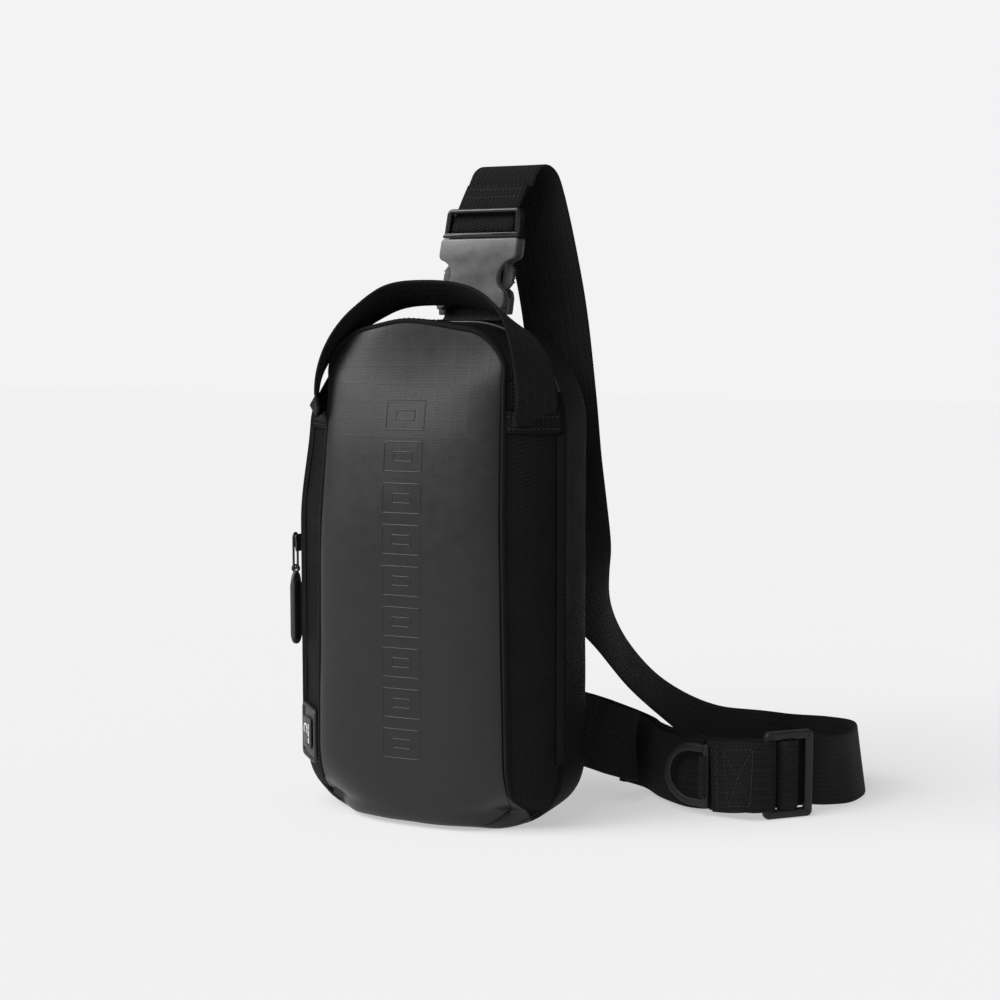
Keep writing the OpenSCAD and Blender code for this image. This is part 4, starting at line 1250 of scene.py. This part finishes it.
def build_female():
    """Female half: two shaped plates over a closed mouth, with legs and the lower bar."""
    parts = [place(slab("plate_front", female_outline(), -5.7, -2.2, [BUCKLE_PAINTED_HIGHLIGHT], 2.2, 6), wedged),
             slab("plate_back", female_outline(), 3.3, 5.5, [BUCKLE_PAINTED_HIGHLIGHT], 0.75, 4)]
    outer = block_section(46.0, 10.8, 3.4, 6)
    inner = block_section(39.5, 7.2, 1.0, 6)
    rings = [[(x, y, z) for x, y in section]
             for section, z in ((outer, 30.5), (outer, 39.5), (inner, 39.5), (inner, 30.5), (outer, 30.5))]
    mouth = lofted("mouth", rings, [BUCKLE_PAINTED_HIGHLIGHT], around=True, sharp=30)
    parts.append(bevelled(mouth, 0.4, 2))
    parts.append(slab("heel", mirrored([(17.5, 4.9), (18.5, 8.4)]), -4.6, 4.6, [BUCKLE_PAINTED_HIGHLIGHT], 0.5))
    bar = [(-19.5, 0, 0), (19.5, 0, 0)]
    parts.append(sweep("bar", bar, (0, 1, 0), round_section(2.2, 2.2, 20), [BUCKLE_PAINTED_HIGHLIGHT]))
    for side in (-1, 1):
        leg = slab("leg", [(-2.1, -2.4), (2.1, -2.4), (2.3, 0.0), (2.3, 7.0), (-2.3, 7.0), (-2.3, 0.0)],
                   -3.9, 3.9, [BUCKLE_PAINTED_HIGHLIGHT], 0.8, 4)
        parts.append(place(leg, lambda p, s=side: p + np.array([s * 19.2, 0, 0])))
    female = place(join("buckle_body", parts), in_buckle)
    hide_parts("buckle_female")
    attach(female, "root")


def build_male():
    """Male half: side rails and top bar round the webbing window, webbing bar, base and tongue."""
    corner = [(20.9 - 1.6 + 1.6 * math.cos(a), 53.6 + 1.6 * math.sin(a))
              for a in np.linspace(0, math.pi / 2, 7)]
    right = [(21.4, 41.2), (21.3, 45.0), (21.1, 49.5), *corner]
    path = upright_ring(np.array(mirrored(right)), 0)
    frame_loop = sweep("rails", path, (0, 1, 0), block_section(9.6, 2.8, 1.35, 5), [BUCKLE_BLACK], sharp=60)
    foot = mirrored([(22.2, 40.35), (23.3, 41.0), (22.8, 42.6), (20.5, 43.2)])
    base = slab("base", foot, -5.2, 5.2, [BUCKLE_BLACK], 0.5)
    bar = [(-21.5, 0, 45.5), (21.5, 0, 45.5)]
    rod = sweep("rod", bar, (0, 1, 0), round_section(1.6, 1.6, 18), [BUCKLE_BLACK])
    tongue = slab("tongue", mirrored([(2.2, 16.6), (3.0, 18), (3.0, 41)]), -2.9, 2.9, [BUCKLE_BLACK], 0.5)
    plug = slab("plug", mirrored([(19.2, 33.0), (19.4, 40.8)]), -3.3, 3.3, [BUCKLE_BLACK], 0.5)
    male = place(join("buckle_frame", [frame_loop, base, rod, tongue, plug]), in_buckle)
    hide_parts("buckle_male")
    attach(male, "buckle_male")


def build_prong(side):
    """Sprung prong: a curved arm with a ribbed button in the side window."""
    label = "left" if side < 0 else "right"
    arm = slab("arm", [(14.9, 39.8), (13.8, 33), (14.3, 27), (15.6, 20), (17.6, 20), (17.2, 27), (16.8, 33),
                       (17.6, 39.8)], -2.9, 2.9, [BUCKLE_PAINTED_HIGHLIGHT], 0.5)
    button = slab("button", [(15.0, 11.0), (18.4, 11.8), (20.6, 14.6), (21.3, 19.0), (20.6, 23.4),
                             (18.4, 26.4), (15.2, 27.6)], -2.4, 2.4, [BUCKLE_PAINTED_HIGHLIGHT], 0.7, 4)
    grips = []
    for z in (15.5, 17.8, 20.1, 22.4):
        bar = [(20.7, -2.1, z), (20.7, 2.1, z)]
        grips.append(sweep("grip", bar, UPRIGHT, round_section(0.5, 0.75, 8), [BUCKLE_PAINTED_HIGHLIGHT]))
    prong = join(f"prong_{label}_arm", [arm, button, *grips])
    if side < 0:
        place(prong, lambda p: p * np.array([-1, 1, 1]))
        face_outwards(prong.data)
    place(prong, in_buckle)
    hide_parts(f"prong_{label}")
    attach(prong, f"prong_{label}")


def build_buckle_loop():
    """Webbing round the buckle's lower bar, its feet sewn flat on the bag's top."""
    keys = keyed(SIDEWAYS, [[BUCKLE_ORIGIN[0], y, z] for y, z in (
        (4, 278.4), (14, 278.5), (22.5, 278.8), (26.4, 281.2), (27.0, 284.8), (28.2, 287), (30, 287.9),
        (31.8, 287), (33.1, 284.6), (33.2, 281), (33.0, 277.0))])
    centres, widths = smooth_path(keys, 8)
    ribbon = Ribbon(centres, widths, 36, STRAP_T)
    loop = ribbon.build("buckle_loop_webbing", [WEBBING])
    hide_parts("buckle_loop")
    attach(loop, "root")
    side = -1 if ribbon.up[2][2] < 0 else 1
    rows = []
    for d in (2.5, 12, 14.5):
        rows += stitches_along(ribbon.line([(d, o) for o in np.linspace(-16, 16, 12)], side))
    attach(stitch_mesh("loop_stitches", rows, THREAD), "root")


# ---- strap ----

def build_strap():
    """The long webbing and its stitched places."""
    steps = 10
    centres, widths = smooth_path(ARCH_KEYS + REAR_KEYS + FLOOR_KEYS + BACK_KEYS + FRONT_KEYS, steps)
    level = 1 - ramp(np.arange(len(centres)), 2.5 * steps, 5.5 * steps)
    whole = Ribbon(centres, widths, level=level)
    rear = steps * len(ARCH_KEYS)
    pleat = rear + steps * len(REAR_KEYS + FLOOR_KEYS + BACK_KEYS)
    arch = whole.part(0, rear).build("strap_arch_webbing", [WEBBING])
    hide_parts("strap_arch")
    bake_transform(arch)

    long_run = whole.part(rear, pleat).build("strap_long_webbing", [WEBBING])
    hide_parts("strap_rear_run", "strap_floor_loop", "strap_back_layer")
    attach(long_run, "root")

    pleated = whole.part(pleat, len(whole.centres) - 1).build("strap_pleated_webbing", [WEBBING])
    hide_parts("strap_front_layer")
    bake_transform(pleated)

    centres, widths = smooth_path(FOLD_KEYS, 10)
    fold = Ribbon(centres, widths, STRAP_W - 2.5, level=1.0)
    fold_piece = fold.build("strap_fold_webbing", [WEBBING])
    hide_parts("strap_fold")
    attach(fold_piece, "buckle_male")
    side = 1 if fold.up[3][1] < 0 else -1
    rows = zigzag(fold, 3.4, 1.6, side) + zigzag(fold, 8.2, 1.6, side)
    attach(stitch_mesh("fold_stitches", rows, THREAD), "buckle_male")


def build_sewn_end():
    """Double webbing from the D-ring's bar to the adjuster, with a zigzag row and a crossed box."""
    centres, widths = smooth_path(SEWN_FRONT_KEYS, 8)
    front = Ribbon(centres, widths)
    centres, widths = smooth_path(SEWN_REAR_KEYS, 8)
    rear = Ribbon(centres, widths)
    wrap = [D_RING_ORIGIN + 3.05 * np.array([math.cos(angle), math.sin(angle), 0])
            for angle in np.radians(np.linspace(-62, -298, 22))]
    plies = {"front_ply": front, "rear_ply": rear, "wrap": Ribbon(wrap, UPRIGHT, 24, 1.4)}
    sewn = join("strap_sewn_webbing", [ply.build(name, [WEBBING]) for name, ply in plies.items()])
    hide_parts("strap_sewn_end")
    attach(sewn, "adjuster")
    side = 1 if front.up[10][1] < 0 else -1
    box = [(9, -16), (24, -16), (24, 16), (9, 16), (9, -16), (24, 16), (24, -16), (9, 16)]
    rows = zigzag(front, 3.6, 2.0, side)
    for a, b in zip(box, box[1:]):
        rows += stitches_along(front.line([(a[0] + (b[0] - a[0]) * s, a[1] + (b[1] - a[1]) * s)
                                           for s in np.linspace(0, 1, 8)], side))
    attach(stitch_mesh("sewn_end_stitches", rows, THREAD), "adjuster")


def build_roll():
    """Turn of the strap over the adjuster's middle bar."""
    turn = ((-6.2, 0.6), (-4.8, -1.4), (-2, -3.4), (2, -3.4), (4.8, -1.4), (6.2, 0.6))
    centres, widths = smooth_path(keyed(UPRIGHT, [[x, y, 0] for x, y in turn]), 8)
    centres = turned_about_z(centres, ADJUSTER_ORIGIN, ADJUSTER_TURN)
    roll = Ribbon(centres, widths, STRAP_W - 0.6).build("strap_roll_webbing", [WEBBING])
    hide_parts("strap_roll")
    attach(roll, "adjuster")


# ---- fittings ----

def round_rectangle(half_w, half_h, corner, count=6, sides=4):
    """Closed outline of a rectangle with round corners, with points along its sides."""
    base = block_section(2 * half_w, 2 * half_h, corner, count)
    out = []
    for a, b in zip(base, np.roll(base, -1, 0)):
        steps = sides if np.linalg.norm(b - a) > corner else 1
        out += [tuple(a + (b - a) * s / steps) for s in range(steps)]
    return out


def build_adjuster():
    """Three-bar frame of flat rounded wire."""
    outer = flat_wire("outer", round_rectangle(12.6, 22.4, 0.8), block_section(4.9, 4, 1.0), [PAINTED],
                      sharp=50)
    middle = sweep("middle", [(0, 0, -22), (0, 0, 22)], SIDEWAYS, block_section(4, 3.4, 1.0), [PAINTED])
    adjuster = join("adjuster_three_bar", [outer, middle])
    place(adjuster, lambda p: turned_about_z(p, ADJUSTER_ORIGIN, ADJUSTER_TURN))
    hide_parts("adjuster_frame")
    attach(adjuster, "adjuster")


def build_d_ring():
    """D-ring: a round bar and a half-round bow of flat wire."""
    radius = 15.6
    bow = [(-9.2 - radius * math.sin(a), radius * math.cos(a)) for a in np.linspace(0, math.pi, 29)]
    points = [(-0.6, radius), (-3, radius), (-6, radius), *bow, (-6, -radius), (-3, -radius), (-0.6, -radius)]
    wire = flat_wire("bow", points, block_section(4.4, 2.6, 0.9, 4), [PAINTED], closed=False, sharp=50)
    bar = [(0, 0, z) for z in (-17.8, -17.2, 17.2, 17.8)]
    rod = sweep("rod", bar, SIDEWAYS, round_section(2.2, 2.2, 20), [PAINTED])
    d_ring = join("d_ring_wire", [wire, rod])
    place(d_ring, lambda p: turned_about_z(p, D_RING_ORIGIN, D_RING_TURN))
    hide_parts("d_ring")
    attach(d_ring, "d_ring")


def build_lower_fittings():
    """Rectangular ring and the webbing tab that ties it to the bag's lower corner."""
    loop = [(x + 5, z) for x, z in round_rectangle(5.4, 23.2, 1.8)]
    ring = flat_wire("lower_ring_wire", loop, block_section(3.6, 3, 0.9), [PAINTED], sharp=50)
    place(ring, lambda p: p + LOWER_RING_ORIGIN)
    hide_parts("lower_ring")
    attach(ring, "root")
    x, _, z = LOWER_RING_ORIGIN
    keys = [[x + along, y, z] for along, y in (
        (-14, 41.8), (-7, 42.1), (-2, 42.7), (1.6, 43.4), (2.8, 45.8), (1.6, 48.2), (-2, 48.9), (-7, 46.4),
        (-14, 43.6))]
    centres, widths = smooth_path(keyed(UPRIGHT, keys), 8)
    tab = Ribbon(centres, widths, 37, STRAP_T).build("lower_tab_webbing", [WEBBING])
    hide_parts("lower_tab")
    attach(tab, "root")


# ---- setting, its places in metres ----

CAMERA_PLACE = (0.4288, -0.8702, 0.2728)
CAMERA_TARGET = (0.0413, 0.0, 0.1811)
SURROUNDING_LIGHT = 0.22
BACKDROP_TONE = 0.896
FLOOR_GLOW = 0.478


def build_floor():
    """Pale floor that fades into the pale surroundings."""
    floor = mesh_piece("floor", [(-6000, -6000, 0), (6000, -6000, 0), (6000, 6000, 0), (-6000, 6000, 0)],
                       [(0, 1, 2, 3)], [((0, 0), (1, 0), (1, 1), (0, 1))], [], outward=False)
    pale = Nodes("floor_paint", (0.35, 0.35, 0.35), 0.9)
    pale.tint(pale.noise(3, 2), 0.995, 1.005)
    pale.shader.inputs["Specular IOR Level"].default_value = 0.0
    pale.shader.inputs["Emission Color"].default_value = (1, 1, 1, 1)
    pale.shader.inputs["Emission Strength"].default_value = FLOOR_GLOW
    floor.data.materials.append(pale.material)


def aim(obj, target):
    """Turns a light or camera to look at a place, in metres."""
    obj.rotation_euler = (Vector(target) - obj.location).to_track_quat("-Z", "Y").to_euler()


def sun(name, position, strength, softness):
    """A broad soft light from a direction."""
    light = bpy.data.lights.new(name, "SUN")
    light.energy = strength
    light.angle = math.radians(softness)
    obj = bpy.data.objects.new(name, light)
    bpy.context.scene.collection.objects.link(obj)
    obj.location = position
    aim(obj, (0, 0, 0))


def build_lights():
    """Even white surroundings, a soft key from the front left and a soft top light."""
    world = bpy.data.worlds.new("studio")
    bpy.context.scene.world = world
    world.use_nodes = True
    nodes = world.node_tree.nodes
    links = world.node_tree.links
    lighting = nodes["Background"]
    lighting.inputs[0].default_value = (1, 1, 1, 1)
    lighting.inputs[1].default_value = SURROUNDING_LIGHT
    backdrop = nodes.new("ShaderNodeBackground")
    backdrop.inputs[0].default_value = (1, 1, 1, 1)
    backdrop.inputs[1].default_value = BACKDROP_TONE
    seen = nodes.new("ShaderNodeLightPath")
    mix = nodes.new("ShaderNodeMixShader")
    links.new(seen.outputs["Is Camera Ray"], mix.inputs[0])
    links.new(lighting.outputs[0], mix.inputs[1])
    links.new(backdrop.outputs[0], mix.inputs[2])
    links.new(mix.outputs[0], nodes["World Output"].inputs[0])
    sun("key", (-1.25, -1.1, 1.05), 2.5, 40)
    sun("top", (-0.4, -0.95, 1.25), 2.1, 50)


def build_camera():
    """Camera at the photograph's viewing angle."""
    camera = bpy.data.cameras.new("camera")
    camera.lens = 63
    camera.sensor_width = 36
    camera.clip_end = 50
    obj = bpy.data.objects.new("camera", camera)
    bpy.context.scene.collection.objects.link(obj)
    obj.location = CAMERA_PLACE
    aim(obj, CAMERA_TARGET)
    bpy.context.scene.camera = obj


bpy.context.scene.view_settings.view_transform = "Standard"
build_camera()
build_lights()
build_floor()

build_rear_shell()
build_lining()
build_slip_pocket()
build_back_pad()
build_gussets()
build_embossing(build_front_panel())
build_binding()
build_hems()
build_hinge_cloth()
build_zip()
build_slider()
build_link()
build_puller()
build_port()
build_handle()
build_female()
build_male()
build_prong(-1)
build_prong(1)
build_buckle_loop()
build_strap()
build_sewn_end()
build_roll()
build_adjuster()
build_d_ring()
build_lower_fittings()

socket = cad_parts["port_socket"]
socket.data.materials.clear()
socket.data.materials.append(PORT_METAL)
